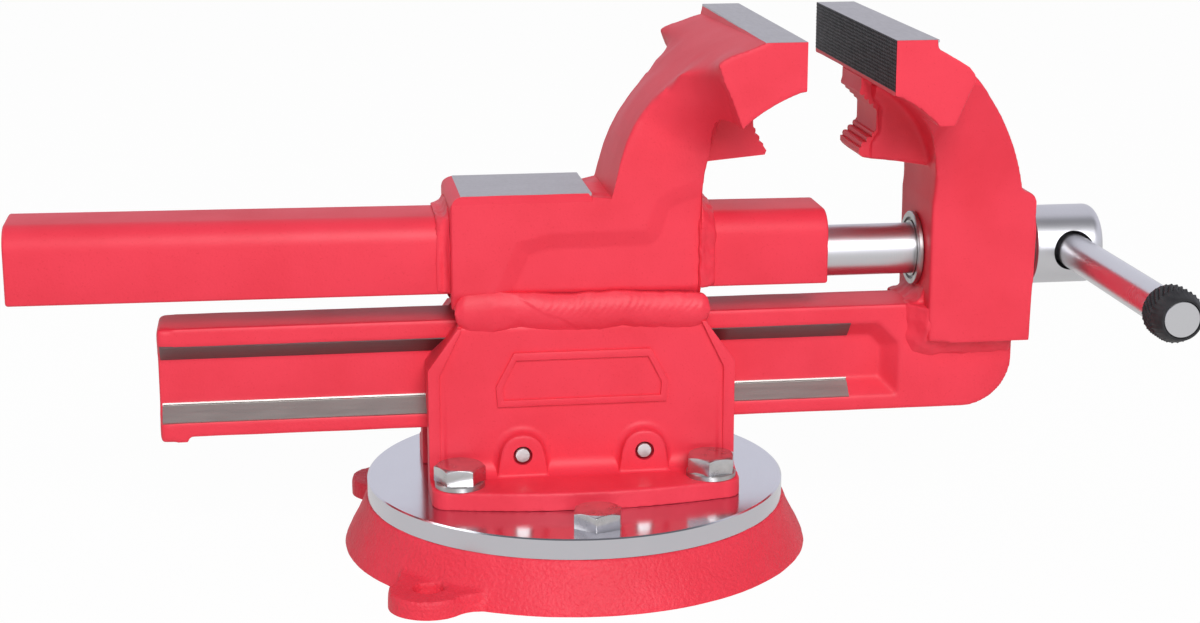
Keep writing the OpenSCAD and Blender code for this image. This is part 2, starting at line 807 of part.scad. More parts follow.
module handle_ring(side) {
  inner = handle_d / 2;
  color(black_oxide) translate([eye_x, side * (handle_l / 2 - grip_l), spindle_z]) rotate([-90 * side, 0, 0])
    rotate_extrude() polygon([[inner, 0], [grip_d / 2 - grip_edge, 0], [grip_d / 2, grip_edge],
                              [grip_d / 2, grip_l - grip_taper],
                              [grip_tip_d / 2, grip_l], [inner, grip_l]]);
}

module left_handle_ring() { handle_ring(-1); }
module right_handle_ring() { handle_ring(1); }

swivel_base();
swivel_plate();
pivot_pin();
left_clamp_nut();
right_clamp_nut();
left_lock_bolt();
right_lock_bolt();
left_cheek();
right_cheek();
foot_washers();
foot_bolts();
guide_shoe();
shoe_pins();
left_cheek_weld();
right_cheek_weld();
fixed_jaw();
screw_guard();
rear_guard_weld();
front_guard_weld();
spindle_nut();
guide_bar();
front_jaw();
front_jaw_weld();
spindle();
retaining_ring();
thrust_washer();
tommy_bar();
left_handle_ring();
right_handle_ring();
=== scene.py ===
# %% [markdown]
# # A swivel bench vise
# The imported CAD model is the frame: it holds every size, and each body moves as the real vise moves.
# This lesson gives the frame its looks. Forged and cast pieces are made from merged copies of the CAD
# solids, because their sizes are right and only their edges are too sharp. Turned, ground and drawn pieces
# are modelled afresh from primitives. Each finish is a small node tree that reads Object coordinates.

# %% Load the frame
import math
import bpy
import numpy as np
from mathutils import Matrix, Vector, noise


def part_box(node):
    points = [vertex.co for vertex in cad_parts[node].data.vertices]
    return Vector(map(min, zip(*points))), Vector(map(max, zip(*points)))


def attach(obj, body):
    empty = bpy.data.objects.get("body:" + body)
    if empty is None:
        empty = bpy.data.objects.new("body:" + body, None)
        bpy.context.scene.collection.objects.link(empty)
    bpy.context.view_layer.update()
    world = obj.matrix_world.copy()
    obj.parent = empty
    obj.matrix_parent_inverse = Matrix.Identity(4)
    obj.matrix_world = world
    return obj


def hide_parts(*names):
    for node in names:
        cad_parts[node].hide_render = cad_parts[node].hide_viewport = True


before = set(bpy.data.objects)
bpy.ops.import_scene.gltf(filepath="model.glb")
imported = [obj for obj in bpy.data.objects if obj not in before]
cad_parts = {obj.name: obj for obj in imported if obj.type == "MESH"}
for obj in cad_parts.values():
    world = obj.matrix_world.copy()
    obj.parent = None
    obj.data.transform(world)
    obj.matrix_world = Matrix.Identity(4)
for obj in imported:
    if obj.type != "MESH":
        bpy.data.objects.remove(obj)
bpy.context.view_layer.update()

MM = 0.001
for left_over in ("Cube", "Light", "Camera"):
    if left_over in bpy.data.objects:
        bpy.data.objects.remove(bpy.data.objects[left_over])

# %% [markdown]
# ## The camera
# The viewing angle was worked out from the round plate, the jaws and the straight edges of the bar and the
# guard. A camera could also be aimed by eye with a Track To constraint. Fixed numbers are used here,
# because a fitted view should give the same picture on each run.

# %% Camera
CAMERA_PLACE = (-0.11104, -0.85635, 0.30747)
CAMERA_TURN = (75.93, 0.0, -8.06)
LENS, SENSOR = 68.53, 36
camera_data = bpy.data.cameras.new("studio_camera")
camera_data.lens, camera_data.sensor_width = LENS, SENSOR
camera = bpy.data.objects.new("studio_camera", camera_data)
camera.location = CAMERA_PLACE
camera.rotation_euler = [math.radians(turn) for turn in CAMERA_TURN]
bpy.context.scene.collection.objects.link(camera)
bpy.context.scene.camera = camera
bpy.context.scene.view_settings.view_transform = "Standard"
print("camera lens", camera_data.lens)

# %% [markdown]
# ## Hand tools
# Operators work on what is selected, so the first tools select one piece, or the vertices, edges or faces of
# it that a mask names. Lengths below are in millimetres, which read better at this size, and are turned into
# metres where they reach a mesh.

# %% Selecting, adding and moving
def select_only(piece):
    bpy.ops.object.select_all(action="DESELECT")
    piece.select_set(True)
    bpy.context.view_layer.objects.active = piece


def added(name, operator, **settings):
    """A new primitive, selected alone and named."""
    bpy.ops.object.select_all(action="DESELECT")
    operator(**settings)
    piece = bpy.context.object
    piece.name = name
    return piece


def read(parts, name):
    """A vector of each vertex or face as rows of x, y, z."""
    flat = np.empty(len(parts) * 3)
    parts.foreach_get(name, flat)
    return flat.reshape(-1, 3)


def points(piece):
    """The vertices of a piece as rows of x, y, z in millimetres."""
    return read(piece.data.vertices, "co") / MM


def put_points(piece, places):
    piece.data.vertices.foreach_set("co", (np.asarray(places, float) * MM).ravel())
    piece.data.update()


def normals(piece):
    return read(piece.data.vertex_normals, "vector")


def pick(piece, kind, mask):
    """Goes into edit mode with just the vertices, edges or faces of a mask selected."""
    select_only(piece)
    bpy.ops.object.mode_set(mode="EDIT")
    bpy.ops.mesh.select_mode(type=kind)
    bpy.ops.mesh.select_all(action="DESELECT")
    bpy.ops.object.mode_set(mode="OBJECT")
    mesh = piece.data
    parts = {"VERT": mesh.vertices, "EDGE": mesh.edges, "FACE": mesh.polygons}[kind]
    parts.foreach_set("select", np.asarray(mask, bool))
    bpy.ops.object.mode_set(mode="EDIT")


def pick_all(piece):
    select_only(piece)
    bpy.ops.object.mode_set(mode="EDIT")
    bpy.ops.mesh.select_all(action="SELECT")


def done():
    bpy.ops.object.mode_set(mode="OBJECT")


print("selecting tools ready")

# %% Modifiers, cuts and shading
SMOOTH_ANGLE = math.radians(32)
XZ = [0, 2]
PAIR = (("left", -1), ("right", 1))


def modify(piece, kind, **settings):
    """Adds a modifier, sets it and applies it."""
    select_only(piece)
    modifier = piece.modifiers.new(kind.title(), kind)
    for name, value in settings.items():
        setattr(modifier, name, value)
    bpy.ops.object.modifier_apply(modifier=modifier.name)
    return piece


def bevel(piece, width, segments=2, angle=40):
    return modify(piece, "BEVEL", width=width * MM, segments=segments, limit_method="ANGLE",
                  angle_limit=math.radians(angle), harden_normals=False)


def combine(piece, tool, operation="DIFFERENCE"):
    """Cuts a piece with a tool body, or unites the two, and takes the tool away."""
    modify(piece, "BOOLEAN", object=tool, operation=operation, solver="MANIFOLD")
    bpy.data.objects.remove(tool)
    return piece


def shade(piece):
    select_only(piece)
    bpy.ops.object.shade_smooth_by_angle(angle=SMOOTH_ANGLE)
    return piece


print("modifier tools ready")

# %% [markdown]
# Every new piece starts as a block, as an outline that is spun or extruded, as a flat sheet that is shaped
# and thickened, or as a copy of a CAD node. Curves with a bevel could make some of these, but a mesh can be
# cut and softened at once.

# %% Starting shapes
def block(name, low, high):
    """A plain block between two corners, as a start or as a cutting tool."""
    low, high = Vector(low) * MM, Vector(high) * MM
    piece = added(name, bpy.ops.mesh.primitive_cube_add, size=1, location=(low + high) / 2, scale=high - low)
    bpy.ops.object.transform_apply(location=True, rotation=True, scale=True)
    return piece


def outline(name, places):
    """A closed outline: a circle of as many vertices, which are then put in place."""
    piece = added(name, bpy.ops.mesh.primitive_circle_add, vertices=len(places), radius=MM)
    put_points(piece, places)
    return piece


def sheet(name, columns, rows):
    """A flat grid from -1 to 1, and its vertices in those units."""
    piece = added(name, bpy.ops.mesh.primitive_grid_add, x_subdivisions=columns, y_subdivisions=rows, size=2)
    return piece, points(piece) * MM


def thicken(piece, reach):
    """Extrudes an open piece by a reach in metres and turns its normals outwards."""
    pick_all(piece)
    bpy.ops.mesh.extrude_region_move(TRANSFORM_OT_translate={"value": reach})
    bpy.ops.mesh.select_all(action="SELECT")
    bpy.ops.mesh.normals_make_consistent(inside=False)
    done()
    return piece


print("starting shapes ready")

# %% Turned and drawn pieces
AXES = {"X": Vector((1, 0, 0)), "Y": Vector((0, 1, 0)), "Z": Vector((0, 0, 1))}
SIDES = {"X": Vector((0, 0, 1)), "Y": Vector((0, 0, 1)), "Z": Vector((1, 0, 0))}


def turned(name, section, centre, axis, steps):
    """A turned piece: its half section of (radius, place along the axis) spun round the axis."""
    along, out = AXES[axis], SIDES[axis]
    piece = outline(name, [Vector(centre) + out * r + along * s for r, s in section])
    pick_all(piece)
    bpy.ops.mesh.spin(steps=steps, angle=2 * math.pi, center=Vector(centre) * MM, axis=along)
    bpy.ops.mesh.select_all(action="SELECT")
    bpy.ops.mesh.remove_doubles(threshold=MM / 1000)
    bpy.ops.mesh.normals_make_consistent(inside=False)
    done()
    return piece


def drawn(name, section, axis, start, end):
    """A piece of one section all along: its outline filled and extruded along X or Y."""
    piece = outline(name, [(start, u, v) if axis == "X" else (u, start, v) for u, v in section])
    pick_all(piece)
    bpy.ops.mesh.edge_face_add()
    done()
    return thicken(piece, AXES[axis] * (end - start) * MM)


def rod(name, radius, start, end, centre, axis, steps, edge=0):
    """A turned rod between two places along its axis, with chamfered ends if an edge is given."""
    rim = [(radius, start), (radius, end)]
    if edge:
        rim = [(radius - edge, start), (radius, start + edge), (radius, end - edge), (radius - edge, end)]
    return turned(name, [(0, start)] + rim + [(0, end)], centre, axis, steps)


print("turning tools ready")

# %% [markdown]
# A forging is round at every edge. A bevel would round them too, but it fails where edges run together, so
# a voxel remesh and a few rounds of smoothing are used. Its skin of small faces can then be pressed and
# drawn by moving vertices, with soft steps so that nothing shows a crease.

# %% Softening
def forging(name, node):
    """A merged copy of a CAD node's mesh, ready to be softened."""
    piece = bpy.data.objects.new(name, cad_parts[node].data.copy())
    bpy.context.scene.collection.objects.link(piece)
    piece.data.materials.clear()
    pick_all(piece)
    bpy.ops.mesh.remove_doubles(threshold=MM / 1000)
    done()
    return piece


def soften(piece, voxel, rounds):
    """Gives sharp edges the rounding of a forging: an even skin of small faces, then smoothing."""
    modify(piece, "REMESH", mode="VOXEL", voxel_size=voxel * MM, adaptivity=0)
    return modify(piece, "SMOOTH", factor=0.5, iterations=rounds)


def relax(piece, mask, repeat):
    """Smooths just the vertices of a mask, which turns an inner corner into a fillet."""
    pick(piece, "VERT", mask)
    bpy.ops.mesh.vertices_smooth(factor=0.5, repeat=repeat)
    done()
    return int(np.count_nonzero(mask))


print("softening tools ready")

# %% Steps, noise and paths
def ramp(value, low, high):
    """0 below low, 1 above high, and a soft step between them."""
    share = np.clip((value - low) / (high - low), 0, 1)
    return share * share * (3 - 2 * share)


def fall(value, low, high):
    return 1 - ramp(value, low, high)


def within(value, low, high):
    return (value > low) & (value < high)


def ripple(places, size):
    """Smooth noise from -1 to 1 at some points, with lumps of the given size."""
    return np.array([noise.noise(Vector(place) / size) for place in places])


def hammer(piece, size, depth):
    """Takes the dead flatness off a forged skin."""
    places = points(piece)
    put_points(piece, places + normals(piece) * (ripple(places, size) * depth)[:, None])


def offsets(path, spots):
    """The nearest points on a path to some spots, and how far each spot lies to the left of it."""
    path = np.asarray(path, float)
    starts, ways = path[:-1], np.diff(path, axis=0)
    share = ((spots[:, None] - starts) * ways).sum(2) / (ways ** 2).sum(1)
    feet = starts + np.clip(share, 0, 1)[..., None] * ways
    gaps = spots[:, None] - feet
    reach = np.hypot(gaps[..., 0], gaps[..., 1])
    best, rows = reach.argmin(1), np.arange(len(spots))
    gap, way = gaps[rows, best], ways[best]
    left = np.sign(way[:, 0] * gap[:, 1] - way[:, 1] * gap[:, 0])
    return feet[rows, best], left * reach[rows, best]


def press(piece, path, mask):
    """Moves the vertices of a mask that lie left of a path in x and z back onto it."""
    places = points(piece)
    rows = np.flatnonzero(mask)
    feet, left = offsets(path, places[rows][:, XZ])
    rows, feet = rows[left > 0], feet[left > 0]
    places[rows, 0], places[rows, 2] = feet[:, 0], feet[:, 1]
    put_points(piece, places)
    return len(rows)


def eased(first, second, radius):
    """Moves two distances from the sides of an inner corner out to a fillet of a radius."""
    a, b = radius - first, radius - second
    reach = np.hypot(a, b)
    scale = np.where((a > 0) & (b > 0) & (reach > radius), radius / np.maximum(reach, 1e-6), 1)
    return radius - a * scale, radius - b * scale


def arc(centre, radius, start, end, steps=9):
    """Points on an arc between two angles in degrees."""
    return [(centre[0] + radius * math.cos(a), centre[1] + radius * math.sin(a))
            for a in np.radians(np.linspace(start, end, steps))]


print("path tools ready")

# %% Mounting
def mount(piece, body, slot, finish, *nodes):
    """Gives a finished piece its body, its finish and the CAD nodes that it stands for."""
    piece.data.materials.clear()
    piece.data.materials.append(finish)
    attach(piece, body)
    if nodes:
        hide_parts(*nodes)
    print(f"{piece.name}: {len(piece.data.polygons)} faces on {body}")
    return piece


print("mounting tool ready")

# %% [markdown]
# ## Finishes
# Shader sums read best as Python, so a small class stands for a socket and turns +, -, * and / into Math
# nodes. One method makes any other node from its type, its settings and its sockets. Only what changes over
# a surface is linked. What is the same all over is typed into the shader's own socket.

# %% Node tools
class Socket:
    """An output of a node, with the sums that the finishes use."""

    def __init__(self, finish, output):
        self.finish, self.output = finish, output

    def sum(self, operation, first, second):
        return self.finish.node("ShaderNodeMath", {"operation": operation}, {0: first, 1: second})

    def __add__(self, other): return self.sum("ADD", self, other)
    def __radd__(self, other): return self.sum("ADD", other, self)
    def __sub__(self, other): return self.sum("SUBTRACT", self, other)
    def __rsub__(self, other): return self.sum("SUBTRACT", other, self)
    def __mul__(self, other): return self.sum("MULTIPLY", self, other)
    def __rmul__(self, other): return self.sum("MULTIPLY", other, self)
    def __truediv__(self, other): return self.sum("DIVIDE", self, other)


class Finish:
    """A material with a Principled shader, built node by node."""

    def __init__(self, name, tree=None, **shader):
        self.material = None
        if tree is None:
            self.material = bpy.data.materials.new(name)
            self.material.use_nodes = True
            tree = self.material.node_tree
        self.tree = tree
        self.shader = tree.nodes.get("Principled BSDF")
        self.set(**shader)

    def feed(self, entry, value):
        if isinstance(value, Socket):
            self.tree.links.new(value.output, entry)
        else:
            entry.default_value = value

    def node(self, kind, settings=(), sockets=(), output=0):
        made = self.tree.nodes.new(kind)
        for name, value in dict(settings).items():
            if name == "stops":
                for stop, (place, level) in zip(made.color_ramp.elements, value):
                    stop.position, stop.color = place, (level, level, level, 1)
            else:
                setattr(made, name, value)
        for name, value in dict(sockets).items():
            self.feed(made.inputs[name], value)
        return Socket(self, made.outputs[output])

    def place(self, stretch=(1, 1, 1)):
        """Object coordinates in millimetres, stretched along each axis."""
        spot = self.node("ShaderNodeTexCoord", output="Object")
        scale = [1000 / s for s in stretch]
        return self.node("ShaderNodeMapping", {}, {"Vector": spot, "Scale": scale})

    def grain(self, size, detail=2.0, stretch=(1, 1, 1)):
        """Noise from 0 to 1 with lumps of a size in millimetres."""
        return self.node("ShaderNodeTexNoise", {}, {
            "Vector": self.place(stretch), "Scale": 1 / size, "Detail": detail})

    def step(self, value, low, high):
        return self.node("ShaderNodeMapRange", {"interpolation_type": "SMOOTHSTEP"}, {
            "Value": value, "From Min": low, "From Max": high})

    def mix(self, share, first, second):
        return self.node("ShaderNodeMix", {"data_type": "RGBA"}, {0: share, 6: first, 7: second}, 2)

    def bump(self, height, depth):
        """Relief that is depth millimetres high where height goes from 0 to 1."""
        relief = self.node("ShaderNodeBump", {}, {"Height": height, "Distance": depth * MM, "Strength": 1.0})
        self.feed(self.shader.inputs["Normal"], relief)

    def set(self, **sockets):
        for socket, value in sockets.items():
            self.feed(self.shader.inputs[socket.replace("_", " ")], value)
        return self.material


print("node tools ready")

# %% [markdown]
# ### Paint
# The vise is powder coated: one even red with a soft shine, a fine orange peel on the forgings and a coarser
# skin on the sand cast base. A paint could be a plain colour with a clear coat. Here the relief is noise in
# a Bump node, because the peel is far finer than any mesh, and a faint cloud of two reds breaks up the tone.

# %% Paint finishes
PAINT = (0.86, 0.044, 0.078, 1)
PAINT_DEEP = (0.78, 0.032, 0.058, 1)


def paint_finish(name, peel, depth, gloss):
    paint = Finish(name, Specular_IOR_Level=0.36)
    cloud = paint.grain(28.0, 3.0)
    peels = paint.grain(peel, 2.0)
    speck = paint.step(paint.grain(0.7, 1.0), 0.66, 0.74)
    paint.bump(peels + 0.35 * paint.grain(peel * 4, 2.0), depth)
    return paint.set(Base_Color=paint.mix(paint.step(cloud + 0.35 * speck, 0.3, 0.95), PAINT, PAINT_DEEP),
                     Roughness=gloss + 0.10 * cloud + 0.06 * peels)


red_paint = paint_finish("red_paint", 0.9, 0.06, 0.40)
cast_paint = paint_finish("cast_paint", 1.3, 0.55, 0.44)
weld_paint = paint_finish("weld_paint", 0.8, 0.05, 0.38)
print("paints:", red_paint.name, cast_paint.name, weld_paint.name)

# %% [markdown]
# ### Metals
# Each bare metal shows how it was cut. Ground faces have a fine grain along the stroke, the swivel plate has
# the rings of a lathe, bolts are dull zinc with cloudy patches, and the spindle and handle are drawn bright.
# Anisotropic shading would be one way. Stretched noise in roughness and relief is used, because it also
# survives as plain textures.

# %% Metal finishes
def shaded(colour, share):
    """A colour at a share of its brightness."""
    return tuple(share * c for c in colour[:3]) + (1,)


def ground_finish(name, colour, rough, stretch):
    metal = Finish(name, Metallic=1.0)
    stroke = metal.grain(0.55, 3.0, stretch)
    patch = metal.grain(9.0, 3.0)
    pit = metal.step(metal.grain(0.5, 1.0), 0.60, 0.72)
    metal.bump(stroke, 0.012)
    dirt = 0.35 * stroke + 0.25 * patch + 0.35 * pit
    return metal.set(Base_Color=metal.mix(dirt, colour, shaded(colour, 0.74)),
                     Roughness=rough + 0.16 * stroke + 0.08 * patch)


def turned_finish(name, colour, rough, axis, pitch=0.35, depth=0.004):
    """Metal with the fine rings that a lathe leaves round an axis, or across a face."""
    metal = Finish(name, Metallic=1.0)
    spot = metal.place()
    flat = {"Z": (1, 1, 0), "X": (1, 0, 0), "Y": (0, 1, 0)}[axis]
    across = metal.node("ShaderNodeVectorMath", {"operation": "MULTIPLY"}, {0: spot, 1: flat})
    reach = metal.node("ShaderNodeVectorMath", {"operation": "LENGTH"}, {0: across}, "Value")
    rings = metal.node("ShaderNodeTexNoise", {"noise_dimensions": "1D"}, {
        "W": reach / pitch, "Scale": 1.0, "Detail": 3.0})
    patch = metal.grain(14.0, 3.0)
    metal.bump(rings, depth)
    return metal.set(Base_Color=metal.mix(0.5 * rings + 0.3 * patch, colour, shaded(colour, 0.86)),
                     Roughness=rough + 0.07 * rings + 0.05 * patch)


ground_steel = ground_finish("ground_steel", (0.49, 0.48, 0.49, 1), 0.34, (3, 14, 3))
anvil_steel = ground_finish("anvil_steel", (0.52, 0.51, 0.52, 1), 0.38, (3, 3, 3))
slide_steel = ground_finish("slide_steel", (0.44, 0.41, 0.39, 1), 0.30, (30, 2, 2))
# Upper milled strips: the slide steel at about half its brightness. This is painted shade for their place
# facing down under the bar's lip, not wear.
worn_steel = ground_finish("worn_steel", (0.22, 0.19, 0.19, 1), 0.34, (30, 2, 2))
plate_steel = turned_finish("plate_steel", (0.66, 0.66, 0.70, 1), 0.10, "Z", 0.5, 0.002)
bright_steel = turned_finish("bright_steel", (0.67, 0.67, 0.69, 1), 0.29, "X")
handle_steel = turned_finish("handle_steel", (0.68, 0.68, 0.70, 1), 0.19, "Y")
print("metals:", ground_steel.name, plate_steel.name, bright_steel.name)

# %% Zinc and black finishes
def cloudy_finish(name, colour, dark, rough, metallic, size):
    metal = Finish(name, Metallic=metallic)
    patch = metal.grain(size, 3.0)
    fine = metal.grain(size / 12, 2.0)
    metal.bump(0.6 * fine + 0.4 * patch, 0.008)
    return metal.set(Base_Color=metal.mix(metal.step(patch, 0.3, 0.7), colour, dark),
                     Roughness=rough + 0.16 * patch + 0.06 * fine)


zinc_steel = cloudy_finish("zinc_steel", (0.62, 0.61, 0.61, 1), (0.50, 0.49, 0.49, 1), 0.14, 1.0, 5.0)
dull_zinc = cloudy_finish("dull_zinc", (0.50, 0.49, 0.48, 1), (0.40, 0.39, 0.38, 1), 0.24, 1.0, 4.0)
black_oxide = cloudy_finish("black_oxide", (0.030, 0.030, 0.032, 1), (0.016, 0.016, 0.018, 1), 0.42, 0.35, 3.0)
knurl_black = cloudy_finish("knurl_black", (0.034, 0.032, 0.033, 1), (0.020, 0.020, 0.021, 1), 0.44, 0.3, 4.0)
dark_steel = cloudy_finish("dark_steel", (0.30, 0.29, 0.28, 1), (0.20, 0.19, 0.19, 1), 0.32, 1.0, 6.0)
print("coatings:", zinc_steel.name, black_oxide.name)

# %% [markdown]
# ## The fixed jaw
# The fixed jaw is one forging: body, anvil, arm, jaw and pipe jaw. Its forged edges are round, but its top
# and its face are ground and milled afterwards, so these keep crisp edges. The copy therefore grows a little
# at both, is softened as a whole, and is then cut back to size with plain blocks.

# %% Sizes of the jaws
jaw_low, jaw_high = (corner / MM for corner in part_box("fixed_jaw"))
column_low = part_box("front_jaw")[0] / MM
JAW_TOP, FACE_X, MOVING_X = jaw_high.z, jaw_high.x, column_low.x
JAW_HALF, JAW_LAND, EAR_SLOPE = jaw_high.y, 15.7, 0.47
FIXED_FACE, MOVING_FACE = 17.5, 19.7
GROW, SKIN, KNURL = 2.0, 0.1, 0.45
ANVIL_Z, BODY_REAR, ANVIL_FRONT, BODY_HALF = 142.0, jaw_low.x, 4.0, 24.0
print("jaws", round(JAW_TOP, 1), "mm high,", round(MOVING_X - FACE_X, 1), "mm open")


def jaw_blank(name, node, face_x, face_h, lean):
    """A softened jaw forging, still too long at its top and at its face."""
    piece = forging(name, node)
    places = points(piece)
    side = 1 if node == "fixed_jaw" else -1
    top = places[:, 2] > JAW_TOP - 0.05
    behind = top & (side * (face_x - places[:, 0]) > JAW_LAND - 1)
    face = (side * (places[:, 0] - face_x) > -0.05) & (places[:, 2] > JAW_TOP - face_h - 0.5)
    places[top, 2] += GROW
    places[behind, 0] += side * lean
    places[face, 0] += side * GROW
    put_points(piece, places)
    return soften(piece, 0.8, 6)


def flare(piece, reach, half, sight):
    """Widens an arm towards its ears by a reach. The near edge of its back moves along the line of sight."""
    places = points(piece)
    y = places[:, 1].copy()
    out = reach * ramp(abs(y), half - 11, half - 1) * fall(abs(y), half + 4, half + 20)
    places[:, 1] += np.sign(y) * out
    places[:, 0] -= 0.18 * out * sight * (y < 0)
    places[:, 2] += 0.15 * out * sight * (y < 0)
    put_points(piece, places)


def mill_jaw(piece, face_x, face_h, side, land):
    """Cuts the top and the face back to size, and makes the ground strip on the top."""
    far = 3 * JAW_HALF
    combine(piece, block("top_cut", (face_x - far, -far, JAW_TOP - SKIN), (face_x + far, far, JAW_TOP + far)))
    near, deep = sorted((face_x - side * KNURL, face_x + side * far))
    combine(piece, block("face_cut", (near, -far, JAW_TOP - face_h - 0.6), (deep, far, JAW_TOP + far)))
    rear, front = sorted((face_x - side * land, face_x - side * KNURL))
    strip = block(piece.name.replace("forging", "ground_strip"), (rear, 0.3 - JAW_HALF, JAW_TOP - 1),
                  (front, JAW_HALF - 0.3, JAW_TOP))
    return bevel(strip, 0.15, 1)


# %% [markdown]
# The back of the jaw rises to the strip at the near side. At the far side it lies lower, so a step shows
# there. The rear end of the anvil is rounded by pressing its vertices onto an arc.

# %% Fixed jaw forging
fixed_forging = jaw_blank("fixed_jaw_forging", "fixed_jaw", FACE_X, FIXED_FACE, GROW / EAR_SLOPE)
hammer(fixed_forging, 14.0, 0.12)
spots = points(fixed_forging)
x, y, z = spots.T.copy()
raised = 0.9 * np.clip((61 - x) / 12, 0, 1)
lowered = (1.0 + 2.7 * np.clip((x - 45) / 16, 0, 1)) * np.clip(0.5 + y / (2 * JAW_HALF), 0, 1)
spots[:, 2] += (raised - lowered) * (x < FACE_X - JAW_LAND - 0.2) * ramp(z, 184, 192) * ramp(x, 36, 44)
put_points(fixed_forging, spots)
rear_end = [(BODY_REAR, 130)] + arc((BODY_REAR + 5, ANVIL_Z - 5), 5, 180, 90) + [(-36, ANVIL_Z)]
print("rear end rounded at", press(fixed_forging, rear_end, (x < -42) & (z > 135)), "points")

# %% [markdown]
# The arm's back follows a measured path, and a lower ledge lies between its foot and the anvil. A curve
# could be swept for this, but the forging's skin is there already, so its vertices move onto the path.

# %% Arm back and ledge
LEDGE = [(3.5, 142.2), (4.3, 139.3), (7.6, 138.7), (9.6, 139.4), (10.9, 141.2), (11.7, 143.6), (12.5, 146.4)]
ARM_BACK = [(10.6, 136), (11.3, 140), (12.9, 146.4), (14.6, 154), (16.7, 160.9), (19.5, 167.2), (23.1, 172.8),
            (27.0, 177.8), (31.5, 182.2), (35.6, 185.4), (39.9, 187.8)]
spots, ways = points(fixed_forging), normals(fixed_forging)
x, y, z = spots.T.copy()
feet, left = offsets(ARM_BACK, spots[:, XZ])
on_arm = (x > ANVIL_FRONT) & (abs(y) < BODY_HALF + 0.6) & (left < 8)
fade = fall(x, 30, 38) * ramp(z, 139.9, 140.5) * on_arm
moved = fade * ((left > 0) | ((left > -3) & (ways[:, 0] < -0.35)))
spots[:, XZ] += (feet - spots[:, XZ]) * moved[:, None]
spots[:, 0] -= 1.6 * ramp(spots[:, 1], 25, 60) * ramp(spots[:, 2], 182, 187) * fall(spots[:, 0], 47, 53)
x, y, z = spots.T.copy()
ledge = np.interp(x, *zip(*LEDGE)) + 0.3 * ripple(spots, 5.0)
ledge -= (3.4 * ramp(y, 2, 20) + 0.9 * ramp(-y, 14, 23)) * fall(x, 9, 11.5)
cut = (x > LEDGE[0][0]) & (x < LEDGE[-1][0]) & (abs(y) < BODY_HALF + 2) & (z < 150)
spots[cut, 2] = np.minimum(z, ledge)[cut]
put_points(fixed_forging, spots)
print("arm back drawn to a path at", np.count_nonzero(moved), "points")

# %% [markdown]
# The arm's sides run out to the ends of the ears in a large hollow. It is a fillet seen from above: each
# vertex in the corner between the arm's side and the ear's rear moves out to an arc. The upper edge of that
# hollow then drops onto the arm's back, which is drawn on to the ear's rear corner for this.

# %% Hollow sides of the arm
EAR_REAR, EAR_LEAN, SCOOP, UPWARD = 45.3, 0.46, 36.0, np.array([-0.55, 0.83])
spots = points(fixed_forging)
x, y, z = spots.T.copy()
rear = EAR_REAR + EAR_LEAN * (191 - z)
wide, deep = eased(abs(y) - BODY_HALF, rear - x, SCOOP * ramp(z, 132, 179) + 0.01)
hollow = (abs(y) > BODY_HALF - 0.8) & (x < rear + 0.8) & (x > 6) & within(z, 146, 192)
spots[hollow, 1] = (np.sign(y) * (BODY_HALF + wide))[hollow]
spots[hollow, 0] = (rear - deep)[hollow]
x, y, z = spots.T.copy()
feet, left = offsets(ARM_BACK + [(EAR_REAR, 190.6), (53, 193.5)], spots[:, XZ])
lift = 2.6 * ramp(-y, 23, 36) - 1.8 * ramp(y, 23, 34)
drop = ramp(abs(y), 19, 25) * fall(abs(y), 50, 58) * ramp(x, 16, 22) * fall(x, 41, 46)
drop = drop * (left > lift) * (left < 9)
spots[:, XZ] += (feet + lift[:, None] * UPWARD - spots[:, XZ]) * drop[:, None]
sink = 1.9 * ramp(y, 0, 24) * ramp(z, 144, 174) * fall(z, 178, 190) * ramp(left, -8, -2)
spots[:, XZ] -= sink[:, None] * UPWARD
tip = ramp(-y, 42, 60) * fall(x, 46, 58) * ramp(z, 182, 188)
spots[:, 0] -= 1.2 * tip
spots[:, 2] += 1.4 * tip
put_points(fixed_forging, spots)
relax(fixed_forging, within(abs(y), 12, 60) & within(x, 12, 52) & (z > 146) & (left > -10), 9)
relax(fixed_forging, within(abs(y), 10, 59.5) & within(x, 30, 51) & (z > 180) & (left > -8), 16)
print("sides hollowed at", np.count_nonzero(hollow), "points")

# %% [markdown]
# The body's sides are pressed in below the anvil and in front of its rear post. That shallow field has a
# sloping border, so it is made by moving vertices: each goes inwards by an amount that a soft step gives
# from its distance to the border.

# %% Pressed fields in the body
FIELD_BORDER = [(-36, 99), (-24.2, 124.7), (-12.1, 127.6), (24.3, 127.9), (28.1, 139.3), (33.4, 143), (46, 147)]
FIELD_SOFT, FIELD_DEEP = 6.5, 2.3
spots, ways = points(fixed_forging), normals(fixed_forging)
x, y, z = spots.T.copy()
inside = -offsets(FIELD_BORDER, spots[:, XZ])[1]
depth = (np.clip(inside / FIELD_SOFT, 0, 1) + 0.004 * np.clip(inside, 0, 25)) * (1 - 0.6 * ramp(z, 130, 148))
on_side = ramp(abs(y), 20.5, 22.5) * ramp(abs(ways[:, 1]), 0.5, 0.9) * (z < 168)
on_side = on_side * fall(abs(y), BODY_HALF + 0.5, BODY_HALF + 4)
spots[:, 1] -= np.sign(y) * FIELD_DEEP * depth * on_side
put_points(fixed_forging, spots)
print("pressed fields", FIELD_DEEP, "mm deep")

# %% [markdown]
# The long edges of the anvil are chamfered. These are plain cuts with a drawn tool.

# %% Chamfers
CHAMFER_SECTION = [(21.16, 0.5), (25, 0.5), (25, -3.8)]
for side in (-1, 1):
    corner = [(side * u, ANVIL_Z + v) for u, v in CHAMFER_SECTION]
    combine(fixed_forging, drawn("chamfer", corner, "X", BODY_REAR - 2, ANVIL_FRONT))
print("anvil edges chamfered")

# %% [markdown]
# The pipe jaws are broached: rows of teeth with round crests and sharp valleys, which softening would wash
# out. So each is drawn crisp, united with its forging, and what is left of the soft teeth in front of it is
# cut away.

